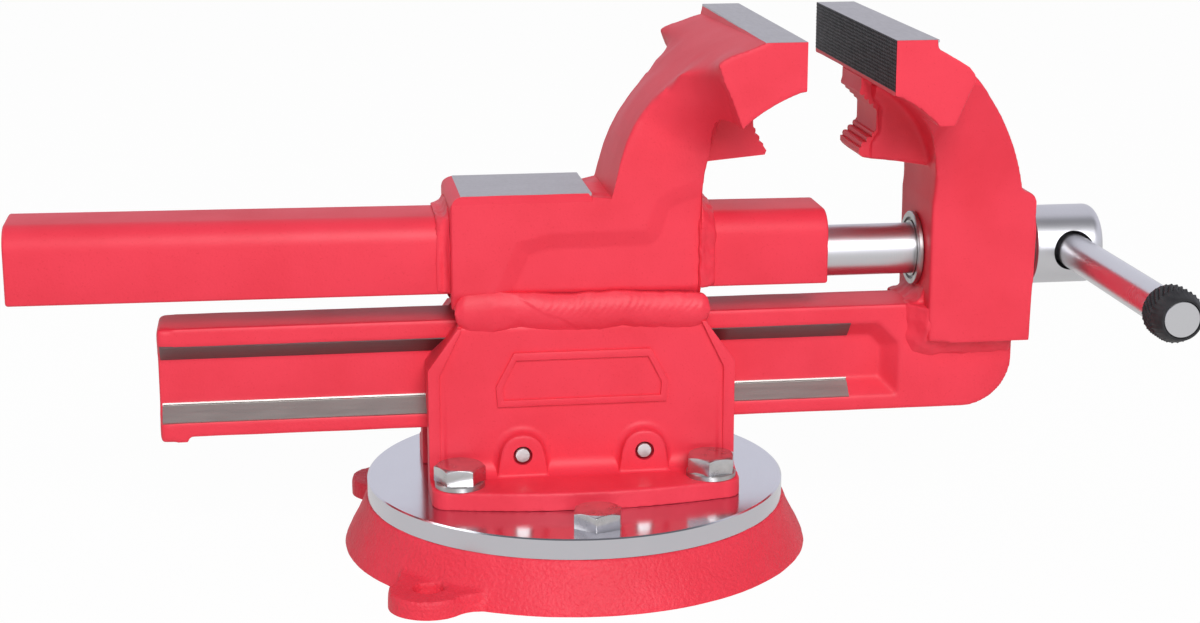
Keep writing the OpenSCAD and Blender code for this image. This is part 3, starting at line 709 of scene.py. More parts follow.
# %% Pipe jaws
PIPE_HALF = 15.0


def teeth(first, last, count, inward):
    """An outline of teeth from the first crest to the last one, with valleys that lie inward."""
    first, last, inward = np.array(first), np.array(last), np.array(inward)
    way = (last - first) / (count - 1)
    return [tuple(first + way * (k + share) + inward * deep) for k in range(count)
            for share, deep in ((-0.28, 0.3), (0, 0), (0.28, 0.3), (0.5, 1))]


def pipe_jaw(piece, face, back, front_x):
    """Unites a crisp pipe jaw, of which face is the toothed side, with a forging."""
    combine(piece, drawn("pipe_jaw", face + back, "Y", -PIPE_HALF, PIPE_HALF), "UNION")
    shift = 0.02 if front_x > face[0][0] else -0.02
    front = [(u + shift, v) for u, v in face] + [(front_x, face[-1][1]), (front_x, face[0][1])]
    return combine(piece, drawn("front", front, "Y", -PIPE_HALF - 0.2, PIPE_HALF + 0.2))


fixed_teeth = [(71.5, 153.9), (72.1, 155.5)] + teeth((70.8, 158.2), (67.7, 164.0), 3, (-1.05, -0.58))[:-1] \
    + [(66.8, 165.8), (66.8, 169.4)] + teeth((67.8, 171.3), (73.8, 182.2), 4, (-1.05, 0.58))[:-1] \
    + [(74.8, 184)]
pipe_jaw(fixed_forging, fixed_teeth, [(44, 184), (44, 151.3), (51.7, 152.1)], 79)
fixed_strip = mill_jaw(fixed_forging, FACE_X, FIXED_FACE, 1, JAW_LAND)
mount(shade(fixed_forging), "turntable", "red_paint", red_paint, "fixed_jaw")
mount(shade(fixed_strip), "turntable", "ground_steel", ground_steel)

# %% [markdown]
# The anvil's flat is ground too. It is a thin plate that stands a hair above the paint, with its border
# inside the chamfers.

# %% Anvil flat
ANVIL_HALF = 21.5
anvil_flat = block("anvil_flat", (BODY_REAR + 4.2, -ANVIL_HALF, ANVIL_Z - 1),
                   (ANVIL_FRONT + 0.1, ANVIL_HALF, ANVIL_Z + 0.12))
bevel(anvil_flat, 0.1, 1)
mount(shade(anvil_flat), "turntable", "ground_steel", anvil_steel)

# %% [markdown]
# ## The moving jaw
# The column, its arm, the moving jaw and its pipe jaw are the second forging, made the same way. Both faces
# carry hardened plates with a milled cross pattern. A plate is a grid whose faces are poked up into
# pyramids, so the teeth are real, and their tips reach the plane where the jaws close.

# %% Moving jaw forging
EAR_PATH = [(124.6, 199.3), (132, 195.2), (136.2, 192.6), (138.2, 190.1), (139, 187.4), (137.5, 184.8),
            (135, 178.1)]
moving_forging = jaw_blank("front_jaw_forging", "front_jaw", MOVING_X, MOVING_FACE, 0)
hammer(moving_forging, 14.0, 0.10)
spots = points(moving_forging)
x, y, z = spots.T.copy()
on_ear = (abs(y) > 30) & (x > 125) & within(z, 179, JAW_TOP - 2.5)
print("ears pressed at", press(moving_forging, EAR_PATH, on_ear), "points")
spots = points(moving_forging)
spots[:, 0] -= 0.9 * ramp(z, 122, 132) * fall(z, 174, 186) * ramp(x, 146, 158)
spots[:, 2] -= 2.0 * fall(spots[:, 2], column_low.z + 1, column_low.z + 9)
put_points(moving_forging, spots)
x, y, z = spots.T.copy()
upright = (x < 141) & (abs(y) > 17.5) & (z < 146)
corner = (x < 145) & (abs(y) > 17.5) & (z < column_low.z + 7)
flare(moving_forging, (x > 113) * 15 * np.clip((z - 128) / 52, 0, 1) ** 2, 22.5, ramp(x, 139, 147))
print("column edges eased at", relax(moving_forging, upright, 14) + relax(moving_forging, corner, 20), "points")
moving_teeth = [(108.6, 184), (108.5, 179)] + teeth((108.2, 176.2), (113.5, 170.8), 4, (0.85, 0.85))[:-1] \
    + [(114.8, 169.5), (114.8, 162.8)] + teeth((113.4, 161.4), (109.4, 157.5), 3, (0.85, -0.85)) \
    + [(108.3, 155.6), (108.3, 153.6), (109.2, 152.4)]
pipe_jaw(moving_forging, moving_teeth, [(132.6, 148.6), (141, 147.2), (141, 184)], 104)
moving_strip = mill_jaw(moving_forging, MOVING_X, MOVING_FACE, -1, JAW_LAND + 0.5)
mount(shade(moving_forging), "slide", "red_paint", red_paint, "front_jaw")
mount(shade(moving_strip), "slide", "ground_steel", ground_steel)

# %% Knurled jaw faces
TOOTH_WIDE, TOOTH_HIGH, TOOTH_DEPTH, FACE_MARGIN, STRAY = 2.3, 1.35, 0.4, 0.9, 0.14
chance = np.random.default_rng(7)


def knurled_face(name, face_x, face_h, side, inset):
    """A plate of small pyramids on a jaw face that looks along side times X."""
    wide, high = 2 * (JAW_HALF - inset), face_h - FACE_MARGIN - 0.1
    across, up = round(wide / TOOTH_WIDE), round(high / TOOTH_HIGH)
    piece, spots = sheet(name, across, up)
    spots = spots[:, :2] / 2
    inner = (abs(spots) < 0.499).all(1)
    spots[inner] += chance.uniform(-STRAY, STRAY, (inner.sum(), 2)) / (across, up)
    back = face_x - side * (KNURL + 0.5)
    low = JAW_TOP - face_h + FACE_MARGIN
    put_points(piece, np.column_stack([np.full(len(spots), back), spots[:, 0] * wide,
                                       low + (spots[:, 1] + 0.5) * high]))
    thicken(piece, (side * (KNURL + 0.5 - TOOTH_DEPTH) * MM, 0, 0))
    pick(piece, "FACE", side * read(piece.data.polygons, "normal")[:, 0] > 0.99)
    bpy.ops.mesh.poke(offset=TOOTH_DEPTH * MM)
    done()
    return piece


fixed_knurl = knurled_face("fixed_jaw_knurl", FACE_X, FIXED_FACE, 1, 0.9)
moving_knurl = knurled_face("front_jaw_knurl", MOVING_X, MOVING_FACE, -1, 0.35)
mount(fixed_knurl, "turntable", "black_oxide", knurl_black)
mount(moving_knurl, "slide", "black_oxide", knurl_black)

# %% [markdown]
# ## The cheeks
# Each cheek is a forging with a crisp rim and frame on its side. Softening would wash these out, so they
# are pressed flat first, the rest is softened, and they are drawn anew and united. The foot meets the wall
# in a wide fillet and the bosses have one round them. Those are made by moving the vertices near a corner
# out to an arc.

# %% Sizes of the cheeks
CHEEK_OUT, FOOT_TOP, PLATE_TOP, PIN_X, PIN_Z, BOSS_R, BOSS_OUT = 24.0, 33.7, 26.5, 23.5, 42.15, 8.1, 28.5
FOOT_X, FOOT_Y, PLUG_R, MOUTH_R, MOUTH_IN = 48.2, 35.0, 5.0, 3.7, 25.0
RELIEF_IN, RIM_OUT, FRAME_OUT = 22.5, 25.5, 25.1
CORNER_CUT = [(59.4, 75.4), (64, 75.4), (64, 100), (41.6, 100)]
RIM = [(59, 33), (59, 76), (47.5, 92), (45.8, 92), (46.6, 90.3), (54.6, 73.9), (54.6, 33)]
FRAME = [(-26.2, 81.8), (26.2, 81.8), (33.2, 68.8), (32.6, 60.7), (-32.6, 60.7), (-33.2, 68.8)]
FRAME_HOLE = [(-25.4, 78.8), (25.4, 78.8), (30.6, 68.5), (30.2, 63.2), (-30.2, 63.2), (-30.6, 68.5)]


def boss_half(z):
    """The half width of a pin boss, which gets wider towards the foot."""
    return BOSS_R + 0.2 + 1.6 * np.clip((44 - z) / 10, 0, 1)


def cheek_blank(side_name, side):
    """The softened cheek without its rim and frame, and with its pin holes filled."""
    piece = forging(side_name + "_cheek_forging", side_name + "_cheek")
    places = points(piece)
    out = side * places[:, 1]
    raised = within(out, CHEEK_OUT + 0.05, CHEEK_OUT + 1.5) & (places[:, 2] > FOOT_TOP + 0.5)
    places[raised, 1] = side * CHEEK_OUT
    put_points(piece, places)
    for x in (-PIN_X, PIN_X):
        ends = sorted((side * (CHEEK_OUT - 4), side * BOSS_OUT))
        combine(piece, rod("plug", PLUG_R, *ends, (x, 0, PIN_Z), "Y", 32), "UNION")
    return soften(piece, 0.62, 3)


# %% Fillets of the cheeks
def ease_cheek(piece, side):
    places = points(piece)
    x, out, z = places[:, 0], side * places[:, 1], places[:, 2]
    side_x, mid = np.sign(x), abs(x) - PIN_X
    from_pin = np.hypot(mid, np.maximum(z - PIN_Z, 0))
    outer = (out > CHEEK_OUT - 1) & within(z, FOOT_TOP - 0.8, 90)
    flare = (boss_half(z) - BOSS_R) * ramp(from_pin, 4, 7.5) * fall(from_pin, 9, 14) * outer
    mid = mid + np.sign(mid) * flare
    from_pin = np.hypot(mid, np.maximum(z - PIN_Z, 0))
    near = outer & (out < BOSS_OUT - 0.3) & (from_pin < BOSS_R + 8)
    gap, rise = eased(from_pin - boss_half(z), out - CHEEK_OUT, 3.0)
    grown = np.where(near, (gap + boss_half(z)) / np.maximum(from_pin, 1e-6), 1)
    mid, z = mid * grown, np.where(z > PIN_Z, PIN_Z + (z - PIN_Z) * grown, z)
    out = np.where(near, CHEEK_OUT + rise, out)
    clear = outer & (from_pin > boss_half(z) - 0.2)
    rise, up = eased(out - CHEEK_OUT, z - FOOT_TOP, 6.5)
    out, z = np.where(clear, CHEEK_OUT + rise, out), np.where(clear, FOOT_TOP + up, z)
    put_points(piece, np.column_stack([side_x * (PIN_X + mid), side * out, z]))


# %% Cheek forgings
def cheek_forging(side_name, side):
    piece = cheek_blank(side_name, side)
    ease_cheek(piece, side)
    places = points(piece)
    x, out, z = places[:, 0], side * places[:, 1], places[:, 2]
    foot_edge = within(z, PLATE_TOP + 3, FOOT_TOP + 1) & (out > CHEEK_OUT + 10) \
        & (np.hypot(abs(x) - FOOT_X, out - FOOT_Y) > 7)
    relax(piece, foot_edge, 8)
    hammer(piece, 12.0, 0.08)
    for turn in (-1, 1):
        corner, rim = ([(turn * u, v) for u, v in path] for path in (CORNER_CUT, RIM))
        combine(piece, drawn("corner", corner, "Y", 0, side * 40))
        rim = drawn("rim", rim, "Y", side * RELIEF_IN, side * RIM_OUT)
        combine(piece, bevel(rim, 0.3, 2), "UNION")
    edge = drawn("frame", FRAME, "Y", side * RELIEF_IN, side * FRAME_OUT)
    combine(edge, drawn("frame_hole", FRAME_HOLE, "Y", side * 22, side * 26))
    combine(piece, bevel(edge, 0.25, 2), "UNION")
    for x in (-PIN_X, PIN_X):
        ends = sorted((side * MOUTH_IN, side * (MOUTH_IN + 5)))
        combine(piece, rod("mouth", MOUTH_R, *ends, (x, 0, PIN_Z), "Y", 48))
    return mount(shade(piece), "turntable", "red_paint", red_paint, side_name + "_cheek")


for side_name, side in PAIR:
    cheek_forging(side_name, side)

# %% [markdown]
# ## Welds
# A weld bead is laid down in small overlapping crescents. A bead could be a row of scaled spheres, but the
# real one runs together, so it is one grid whose vertices are lifted to a crown. Each seam has two runs: the
# longer one laps over the first in a slanting step. A few lumps, faint ripples and wavy edges finish it.

# %% Cheek welds
SEAM_START, SEAM_END, SEAM_CROWN, SEAM_SHIFT = -50.1, 47.4, 2.6, 1.8
SEAM_LOW = [(-50.1, 91.2), (-46.4, 90.3), (-35.6, 89.4), (-25.8, 91.6), (-19, 90.2), (-11.2, 89.4), (5.1, 89.2),
            (13.3, 90.6), (21, 89.6), (29.7, 89.2), (39.7, 88.8), (47.4, 91.0)]
SEAM_HIGH = [(-50.1, 104.6), (-38, 105.6), (-25, 104.9), (-8, 103.6), (12, 104.4), (30, 103.2), (47.4, 102.4)]
LAP = [(-31, 106.5), (-29.1, 104.3), (-23.5, 101.2), (-17, 96.8), (-9.8, 94.5), (-5, 91), (-3, 87)]


def cheek_weld(side_name, side):
    piece, grid = sheet(side_name + "_cheek_weld_bead", 230, 48)
    t = grid[:, 1]
    x = SEAM_START + (grid[:, 0] + 1) / 2 * (SEAM_END - SEAM_START)
    line = np.column_stack([x, np.full(len(x), 3.7 * side), np.zeros(len(x))])
    low = np.interp(x, *zip(*SEAM_LOW)) + 0.35 * ripple(line, 2.6)
    high = np.interp(x, *zip(*SEAM_HIGH)) + 0.4 * ripple(line + [0, 9, 0], 4.0)
    for reach, radius in ((x - SEAM_START, 6.5), (SEAM_END - x, 3.5)):
        pinch = 1 - np.sqrt(np.clip(1 - (1 - np.minimum(reach / radius, 1)) ** 2, 0, 1))
        low, high = low + pinch * 0.42 * (high - low), high - pinch * 0.42 * (high - low)
    z = low + (t + 1) / 2 * (high - low)
    flat = np.column_stack([x, np.full(len(x), 3.7 * side), z])
    second = ramp(offsets(LAP, np.column_stack([x, z]))[1], -0.2, 1.2)
    ends = ramp(np.minimum(x - SEAM_START, SEAM_END - x), -0.5, 4.0)
    crown = (1 - abs(t) ** 2.2) * (0.6 + 0.4 * ends)
    slant = x - 0.95 * (z - 97) + 0.05 * (z - 97) ** 2
    beads = np.sin(slant * 2 * math.pi / 3.0 + 2.2 * ripple(flat, 9.0)) * second * ramp(t, -0.6, 0.4)
    beads = beads * (0.55 + 0.75 * ripple(flat + [0, 0, 60], 8.0))
    lumps = (0.45 - 0.22 * second) * ripple(flat, 8.0) + 0.09 * ripple(flat + [40, 0, 0], 3.0)
    lift = (SEAM_CROWN + 0.35 * second) * crown + (0.08 * beads + lumps) * (1 - t ** 6)
    put_points(piece, np.column_stack([x + SEAM_SHIFT, side * (CHEEK_OUT - 0.5 + lift), z]))
    thicken(piece, (0, -side * 2.2 * MM, 0))
    return mount(shade(piece), "turntable", "red_paint", weld_paint, side_name + "_cheek_weld")


for side_name, side in PAIR:
    cheek_weld(side_name, side)

# %% [markdown]
# The welds round the guard are fillets. They start from the CAD solids, which hold the run of each bead, and
# are softened more and made lumpier than the forgings.

# %% Guard welds
guard_low, guard_high = (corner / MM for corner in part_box("screw_guard"))
GUARD_HALF, GUARD_TOP = guard_high.y, guard_high.z


def hollow_weld(piece, deep):
    """Makes a fillet round the guard concave: its skin sinks between the body and the guard."""
    places = points(piece)
    low, high = places[:, 0].min(), places[:, 0].max()
    away = (high - places[:, 0] if low < 0 else places[:, 0] - low) / (high - low)
    for row, base in ((1, GUARD_HALF), (2, GUARD_TOP)):
        height = np.maximum(abs(places[:, row]) - base, 0)
        places[:, row] -= np.sign(places[:, row]) * height * deep * (np.sin(np.pi * away ** 0.8) + 0.25 * away)
    put_points(piece, places)


def fillet_weld(node, body, lump, depth, rounds, hollow, grow):
    piece = soften(forging(node + "_bead", node), 0.6, rounds)
    put_points(piece, points(piece) + normals(piece) * grow)
    hollow_weld(piece, hollow)
    hammer(piece, lump, depth)
    hammer(piece, lump / 3, depth / 4)
    return mount(shade(piece), body, "red_paint", weld_paint, node)


fillet_weld("rear_guard_weld", "turntable", 7.0, 0.5, 14, hollow=0.75, grow=0.0)
fillet_weld("front_guard_weld", "turntable", 6.0, 1.0, 14, hollow=0.25, grow=1.0)

# %% [markdown]
# The weld at the column goes up its front and along below it, on both sides of the bar. Its skin is a grid
# whose height above the bar falls with the distance to the column. A fillet on top of the bar joins both
# sides, and one remesh makes them a single bead.

# %% Column weld
WELD_REACH, WELD_BACK = 6.6, 14.0
bar_low, bar_high = (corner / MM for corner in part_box("guide_bar"))
COLUMN_FRONT, COLUMN_BACK, COLUMN_FOOT, BAR_HALF = 136.0, bar_high.x - 0.8, column_low.z - 2.0, 15.0


def weld_side(side):
    piece, grid = sheet("weld_side", 100, 70)
    grid = (grid + 1) / 2
    x = COLUMN_FRONT - 9 + grid[:, 0] * (COLUMN_BACK - COLUMN_FRONT + 9)
    z = COLUMN_FOOT - 9 + grid[:, 1] * (bar_high.z - 0.1 - COLUMN_FOOT + 9)
    away = np.hypot(np.maximum(COLUMN_FRONT - x, 0), np.maximum(COLUMN_FOOT - z, 0))
    share = 1 - np.clip(away / WELD_REACH, 0, 1)
    rise = (4.2 + 2.6 * ramp(z, COLUMN_FOOT - 1, COLUMN_FOOT + 6)) * share
    rise = rise * fall(x, COLUMN_BACK - 4, COLUMN_BACK + 4)
    rise = rise - 0.7 * ramp(away, WELD_REACH - 0.6, WELD_REACH + 0.4)
    put_points(piece, np.column_stack([x, side * (BAR_HALF + rise), z]))
    thicken(piece, (0, -side * 20 * MM, 0))
    places = points(piece)
    places[side * places[:, 1] < 10, 1] = side * WELD_BACK
    put_points(piece, places)
    return piece


OVER_X, OVER_Z, OVER_R = 129.3, 100.1, 6.9
foot, inner = bar_high.z - 1, COLUMN_FRONT + 1.5
over = [(inner, foot), (OVER_X, foot)] + arc((OVER_X, OVER_Z), OVER_R, 270, 360) + [(inner, OVER_Z)]
column_weld = drawn("front_jaw_weld_bead", over, "Y", -WELD_BACK - 0.8, WELD_BACK + 0.8)
for side in (-1, 1):
    combine(column_weld, weld_side(side), "UNION")
soften(column_weld, 0.6, 8)
hammer(column_weld, 5.5, 0.75)
hammer(column_weld, 2.4, 0.12)
mount(shade(column_weld), "slide", "red_paint", weld_paint, "front_jaw_weld")

# %% [markdown]
# ## The screw guard
# The guard is a heavy channel over the spindle, closed at the rear. It is one section all along, so it is
# drawn as an outline and extruded, then hollowed from below with a block, and its ends are bevelled.

# %% Screw guard
GUARD_ROUND, GUARD_WALL = 9.0, 7.0
TOP_RISE, TOP_SAG, FOOT_RISE, FOOT_SAG = 0.8, 2.3, -0.4, 1.2
half = GUARD_HALF
curve = arc((half - GUARD_ROUND, GUARD_TOP - GUARD_ROUND), GUARD_ROUND, 0, 90, 13)
guard_section = [(half, guard_low.z)] + curve + [(-y, z) for y, z in reversed(curve)] + [(-half, guard_low.z)]
guard = drawn("screw_guard_channel", guard_section, "X", guard_low.x, guard_high.x)
combine(guard, block("hollow", (guard_low.x + GUARD_WALL, GUARD_WALL - half, guard_low.z - 5),
                     (guard_high.x + 5, half - GUARD_WALL, guard_high.z - GUARD_WALL)))
bevel(guard, 1.1, 3)
spots = points(guard)
along = (spots[:, 0] - guard_low.x) / (guard_high.x - guard_low.x)
height = (spots[:, 2] - guard_low.z) / (guard_high.z - guard_low.z)
spots[:, 2] += height * (TOP_RISE - TOP_SAG * along) + (1 - height) * (FOOT_RISE - FOOT_SAG * along)
put_points(guard, spots)
mount(shade(guard), "turntable", "red_paint", red_paint, "screw_guard")

# %% [markdown]
# ## The guide bar
# The bar is forged with a groove in each side. Only the sloping walls that run on the cheeks are milled
# bare. Thin strips of steel stand for those bare bands, a hair above the paint. The stop nub under its rear
# end gets a round root, so its front moves back a little, to stay clear of the shoe that it stops against.

# %% Guide bar forging
NUB_LONG = 11.0
bar_blank = forging("guide_bar_forging", "guide_bar")
spots = points(bar_blank)
spots[spots[:, 0] < bar_low.x + 0.5, 0] -= 1.4
nub_front = abs(spots[:, 0] - bar_low.x - NUB_LONG) < 0.1
spots[nub_front, 0] -= 2.0
put_points(bar_blank, spots)
corner = [(10.2, bar_high.z + 0.5), (16, bar_high.z + 0.5), (16, bar_high.z - 5.3)]
combine(bar_blank, drawn("far_corner", corner, "X", bar_low.x - 5, 140))
bar_forging = soften(bar_blank, 0.8, 3)
spots = points(bar_forging)
far_edge = (spots[:, 2] > bar_high.z - 3.5) & (spots[:, 1] > 9) & (spots[:, 0] < 130)
rear_edge = (spots[:, 0] < bar_low.x + 5) & ((abs(spots[:, 1]) > 10) | (spots[:, 2] > bar_high.z - 4))
print("bar edges eased at", relax(bar_forging, far_edge, 25) + relax(bar_forging, rear_edge, 14), "points")
hammer(bar_forging, 16.0, 0.10)
mount(shade(bar_forging), "slide", "red_paint", red_paint, "guide_bar")

# %% Milled strips
GROOVE_LOW, GROOVE_HIGH, WALL = 56.2, 86.4, 6.5 * math.sqrt(2)
STRIP_FRONT = 107.0
UPPER_STRIP = [(0.3, 0.35), (WALL - 0.3, 0.35)]
LOWER_STRIP = [(0.3, 0.6), (WALL - 1.9, 0.6), (WALL - 1.8, 0.1), (WALL - 1.0, 0.1), (WALL - 0.9, 0.6),
               (WALL - 0.3, 0.75)]


def milled_strip(name, side, edge, way, skin, finish):
    """A thin bare band on the sloping wall of a groove, with a skin of (place along the slope, height)."""
    slope = math.sqrt(0.5)
    section = [(skin[0][0], -0.5)] + skin + [(skin[-1][0], -0.5)]
    places = [(BAR_HALF - slope * (s - h), edge + way * slope * (s + h)) for s, h in section]
    piece = drawn(name, [(side * y, z) for y, z in places], "X", bar_low.x - 0.4, STRIP_FRONT)
    return mount(shade(piece), "slide", "ground_steel", finish)


# The upper strips take the darker steel, which is painted shade under the bar's lip; the lower strips take the
# plain slide steel.
for side_name, side in PAIR:
    milled_strip(side_name + "_upper_milled_strip", side, GROOVE_HIGH, -1, UPPER_STRIP, worn_steel)
    milled_strip(side_name + "_lower_milled_strip", side, GROOVE_LOW, 1, LOWER_STRIP, slide_steel)

# %% [markdown]
# ## The base and the swivel plate
# The base is a sand casting with a rough skin, so it is softened with coarser faces. The plate on it is
# turned and ground: a half section spun round the swivel axis, with small bright bevels.

# %% Base casting
BASE_R, BASE_TOP_R, BASE_H, BASE_LAND, LUG_R, LUG_HOLE = 90.0, 82.4, 18.7, 3.5, 95.0, 5.5
LUG_TURNS = (48.5, 138.5, 228.5)
WALL_HOLLOW, FOOT_FLARE = 1.42, 1.1
base = forging("swivel_base_casting", "swivel_base")
spots = points(base)
spots[spots[:, 2] < 0.05, 2] -= 3
put_points(base, spots)
soften(base, 1.15, 5)
spots = points(base)
radius, z = np.hypot(spots[:, 0], spots[:, 1]), np.clip(spots[:, 2], 0, BASE_H)
wall = BASE_R - (BASE_R - BASE_TOP_R) * np.clip((z - BASE_LAND) / (BASE_H - BASE_LAND), 0, 1)
drawn_in = WALL_HOLLOW * np.minimum(z / BASE_LAND, (BASE_H - z) / (BASE_H - BASE_LAND))
drawn_in -= FOOT_FLARE * fall(z, 2, 14)
on_wall = ramp(radius, wall - 3, wall - 1) * fall(radius, wall + 0.8, wall + 3)
spots[:, :2] *= (1 - drawn_in * on_wall / np.maximum(radius, 1))[:, None]
put_points(base, spots)
hammer(base, 9.0, 0.2)
hammer(base, 2.4, 0.08)
combine(base, block("bench", (-150, -150, -20), (150, 150, 0.05)))
for turn in np.radians(LUG_TURNS):
    centre = (LUG_R * math.cos(turn), LUG_R * math.sin(turn), 0)
    combine(base, rod("lug_hole", LUG_HOLE, -5, 12, centre, "Z", 48))
mount(shade(base), "base", "cast_paint", cast_paint, "swivel_base")

# %% Swivel plate
plate_low, plate_high = (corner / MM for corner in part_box("swivel_plate"))
PIVOT_R, PLATE_EDGE = 12.0, 0.5
r, low, high = plate_high.x, plate_low.z, plate_high.z
plate = turned("swivel_plate_disc", [(PIVOT_R, low), (r, low), (r, high - PLATE_EDGE), (r - PLATE_EDGE, high),
                                     (PIVOT_R, high)], (0, 0, 0), "Z", 192)
mount(shade(plate), "turntable", "ground_steel", plate_steel, "swivel_plate")

# %% [markdown]
# ## Bolts, washers and pins
# A bolt head is forged as a hexagon and chamfered by a cone. The cone leaves an arc on each flat, so the
# head is the part that a hexagon and a cone share. It is modelled once for each place, because each bolt
# stopped at another angle when it was tightened.

# %% Hexagon bolts
BOLT_AF, HEAD_H, BOLT_D, CHAMFER = 17.0, 6.4, 10.0, 0.3
CONE_SLOPE, CONE_WIDE, SHANK_EDGE = 30, 12, 0.8


def hex_bolt(name, x, y, seat, shank, turn):
    corner, centre = BOLT_AF / math.sqrt(3), (x, y, seat)
    piece = added(name, bpy.ops.mesh.primitive_cylinder_add, vertices=6, radius=corner * MM, depth=HEAD_H * MM,
                  location=Vector((x, y, seat + HEAD_H / 2)) * MM, rotation=(0, 0, math.radians(turn)))
    bpy.ops.object.transform_apply(location=True, rotation=True, scale=True)
    slope, rim = math.tan(math.radians(CONE_SLOPE)), BOLT_AF / 2 - CHAMFER
    wide, shaft_r, sunk = CONE_WIDE, BOLT_D / 2, 0.5
    cone = [(0, -1), (wide, -1), (wide, HEAD_H - (wide - rim) * slope), (rim, HEAD_H), (0, HEAD_H)]
    combine(piece, turned("chamfer", cone, centre, "Z", 128), "INTERSECT")
    bevel(piece, 0.14, 2, 25)
    section = [(0, -shank), (shaft_r - SHANK_EDGE, -shank), (shaft_r, SHANK_EDGE - shank), (shaft_r, sunk),
               (0, sunk)]
    combine(piece, turned("shank", section, centre, "Z", 48), "UNION")
    return shade(piece)


FOOT_SEAT, LOCK_R, LOCK_SHANK, FOOT_SHANK = 35.7, 66.5, 21.9, 16.0
LOCK_TURNS = {"left": 49, "right": 8}
for side_name, side in PAIR:
    turn = LOCK_TURNS[side_name]
    bolt = hex_bolt(side_name + "_lock_bolt_hex", 0, side * LOCK_R, PLATE_TOP, LOCK_SHANK, turn)
    mount(bolt, side_name + "_lock", "zinc_steel", zinc_steel, side_name + "_lock_bolt")


def join(name, pieces):
    select_only(pieces[0])
    for piece in pieces:
        piece.select_set(True)
    bpy.ops.object.join()
    pieces[0].name = name
    return pieces[0]


FOOT_TURNS = {(-1, -1): 25.6, (1, -1): 46, (-1, 1): 41, (1, 1): 5}
foot_bolts = join("foot_bolt_set", [hex_bolt("foot_bolt", sx * FOOT_X, sy * FOOT_Y, FOOT_SEAT, FOOT_SHANK, turn)
                                    for (sx, sy), turn in FOOT_TURNS.items()])
mount(foot_bolts, "turntable", "zinc_steel", zinc_steel, "foot_bolts")

# %% Washers and pins
WASHER_R, WASHER_HOLE, WASHER_T, PIN_R, PIN_END, PIN_EDGE = 9.5, 5.5, 2.0, 3.0, 28.0, 0.4


def washer(x, y):
    low, edge = FOOT_SEAT - WASHER_T, 0.35
    section = [(WASHER_HOLE, low), (WASHER_R, low), (WASHER_R, low + WASHER_T - edge),
               (WASHER_R - edge, low + WASHER_T), (WASHER_HOLE, low + WASHER_T)]
    return shade(turned("washer", section, (x, y, 0), "Z", 64))


washers = join("foot_washer_set", [washer(sx * FOOT_X, sy * FOOT_Y) for sx, sy in FOOT_TURNS])
mount(washers, "turntable", "zinc_steel", dull_zinc, "foot_washers")
pins = [shade(rod("pin", PIN_R, -PIN_END, PIN_END, (x, 0, PIN_Z), "Y", 48, PIN_EDGE)) for x in (-PIN_X, PIN_X)]
mount(join("shoe_pin_set", pins), "turntable", "bright_steel", dull_zinc, "shoe_pins")

# %% [markdown]
# ## The spindle
# The spindle is turned bar: a threaded end, a plain shank and a head with a cross hole for the handle. A
# thread follows a helix, so one pitch of its section goes through the Screw modifier, which turns and shifts
# it at once. Its open ends are cut square and closed, and shank and head are united with it.

# %% Thread
spindle_low, spindle_high = (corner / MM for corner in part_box("spindle"))
SPINDLE_Z, SPINDLE_R, PITCH, THREAD_DEPTH, TURNS = 112.4, 10.0, 5.0, 2.0, 37
HEAD_X, HEAD_R, HEAD_ROUND, EYE_X, EYE_R = 180.8, 15.5, 4.5, 196.1, 7.05
axis_start = Vector((spindle_low.x, 0, SPINDLE_Z))
ROOT_R, THREAD_STEPS = SPINDLE_R - THREAD_DEPTH, 40
flight = [(ROOT_R, 0), (ROOT_R, 0.25), (SPINDLE_R, 0.5), (SPINDLE_R, 0.75), (ROOT_R, 1)]
thread = outline("spindle_bar", [Vector((PITCH * (s - 1), 0, r)) for r, s in flight])
thread.location = axis_start * MM
ends = np.array([len(set(edge.vertices) & {0, len(flight) - 1}) == 2 for edge in thread.data.edges])
pick(thread, "EDGE", ends)
bpy.ops.mesh.delete(type="EDGE")
done()
modify(thread, "SCREW", axis="X", angle=2 * math.pi, screw_offset=PITCH * MM, iterations=TURNS + 1,
       steps=THREAD_STEPS, render_steps=THREAD_STEPS, use_merge_vertices=True, merge_threshold=MM / 100)
bpy.ops.object.transform_apply(location=True, rotation=True, scale=True)
for place, way in ((axis_start.x, -1), (axis_start.x + (TURNS - 0.5) * PITCH, 1)):
    pick_all(thread)
    bpy.ops.mesh.bisect(plane_co=(place * MM, 0, 0), plane_no=(way, 0, 0), use_fill=True, clear_outer=True)
    done()
pick_all(thread)
bpy.ops.mesh.remove_doubles(threshold=MM / 200)
bpy.ops.mesh.normals_make_consistent(inside=False)
done()
print("thread of", TURNS, "turns")

# %% Shank, head and eye
shank_start = axis_start.x + (TURNS - 1.2) * PITCH
section = [(0, shank_start), (ROOT_R, shank_start), (SPINDLE_R, shank_start + 2.5), (SPINDLE_R, HEAD_X),
           (HEAD_R - 0.8, HEAD_X), (HEAD_R, HEAD_X + 0.8)]
rounding = arc((HEAD_R - HEAD_ROUND, spindle_high.x - HEAD_ROUND), HEAD_ROUND, 0, 90)
shank = turned("shank", section + rounding + [(0, spindle_high.x)], (0, 0, SPINDLE_Z), "X", 128)
spindle = combine(thread, shank, "UNION")
eye_centre = (EYE_X, 0, SPINDLE_Z)
combine(spindle, rod("eye", EYE_R, -40, 40, eye_centre, "Y", 64))
mouth = [(0, 10), (EYE_R, 10), (EYE_R + 0.8, 13.2), (EYE_R + 1.6, 20), (0, 20)]
for side in (-1, 1):
    combine(spindle, turned("mouth", [(r, side * s) for r, s in mouth], eye_centre, "Y", 64))
mount(shade(spindle), "screw", "bright_steel", bright_steel, "spindle")

# %% [markdown]
# The ring that holds the spindle in the column and the washer behind its head are small turned discs.

# %% Retaining ring and thrust washer
GROOVE_R = (11.0, 12.3)


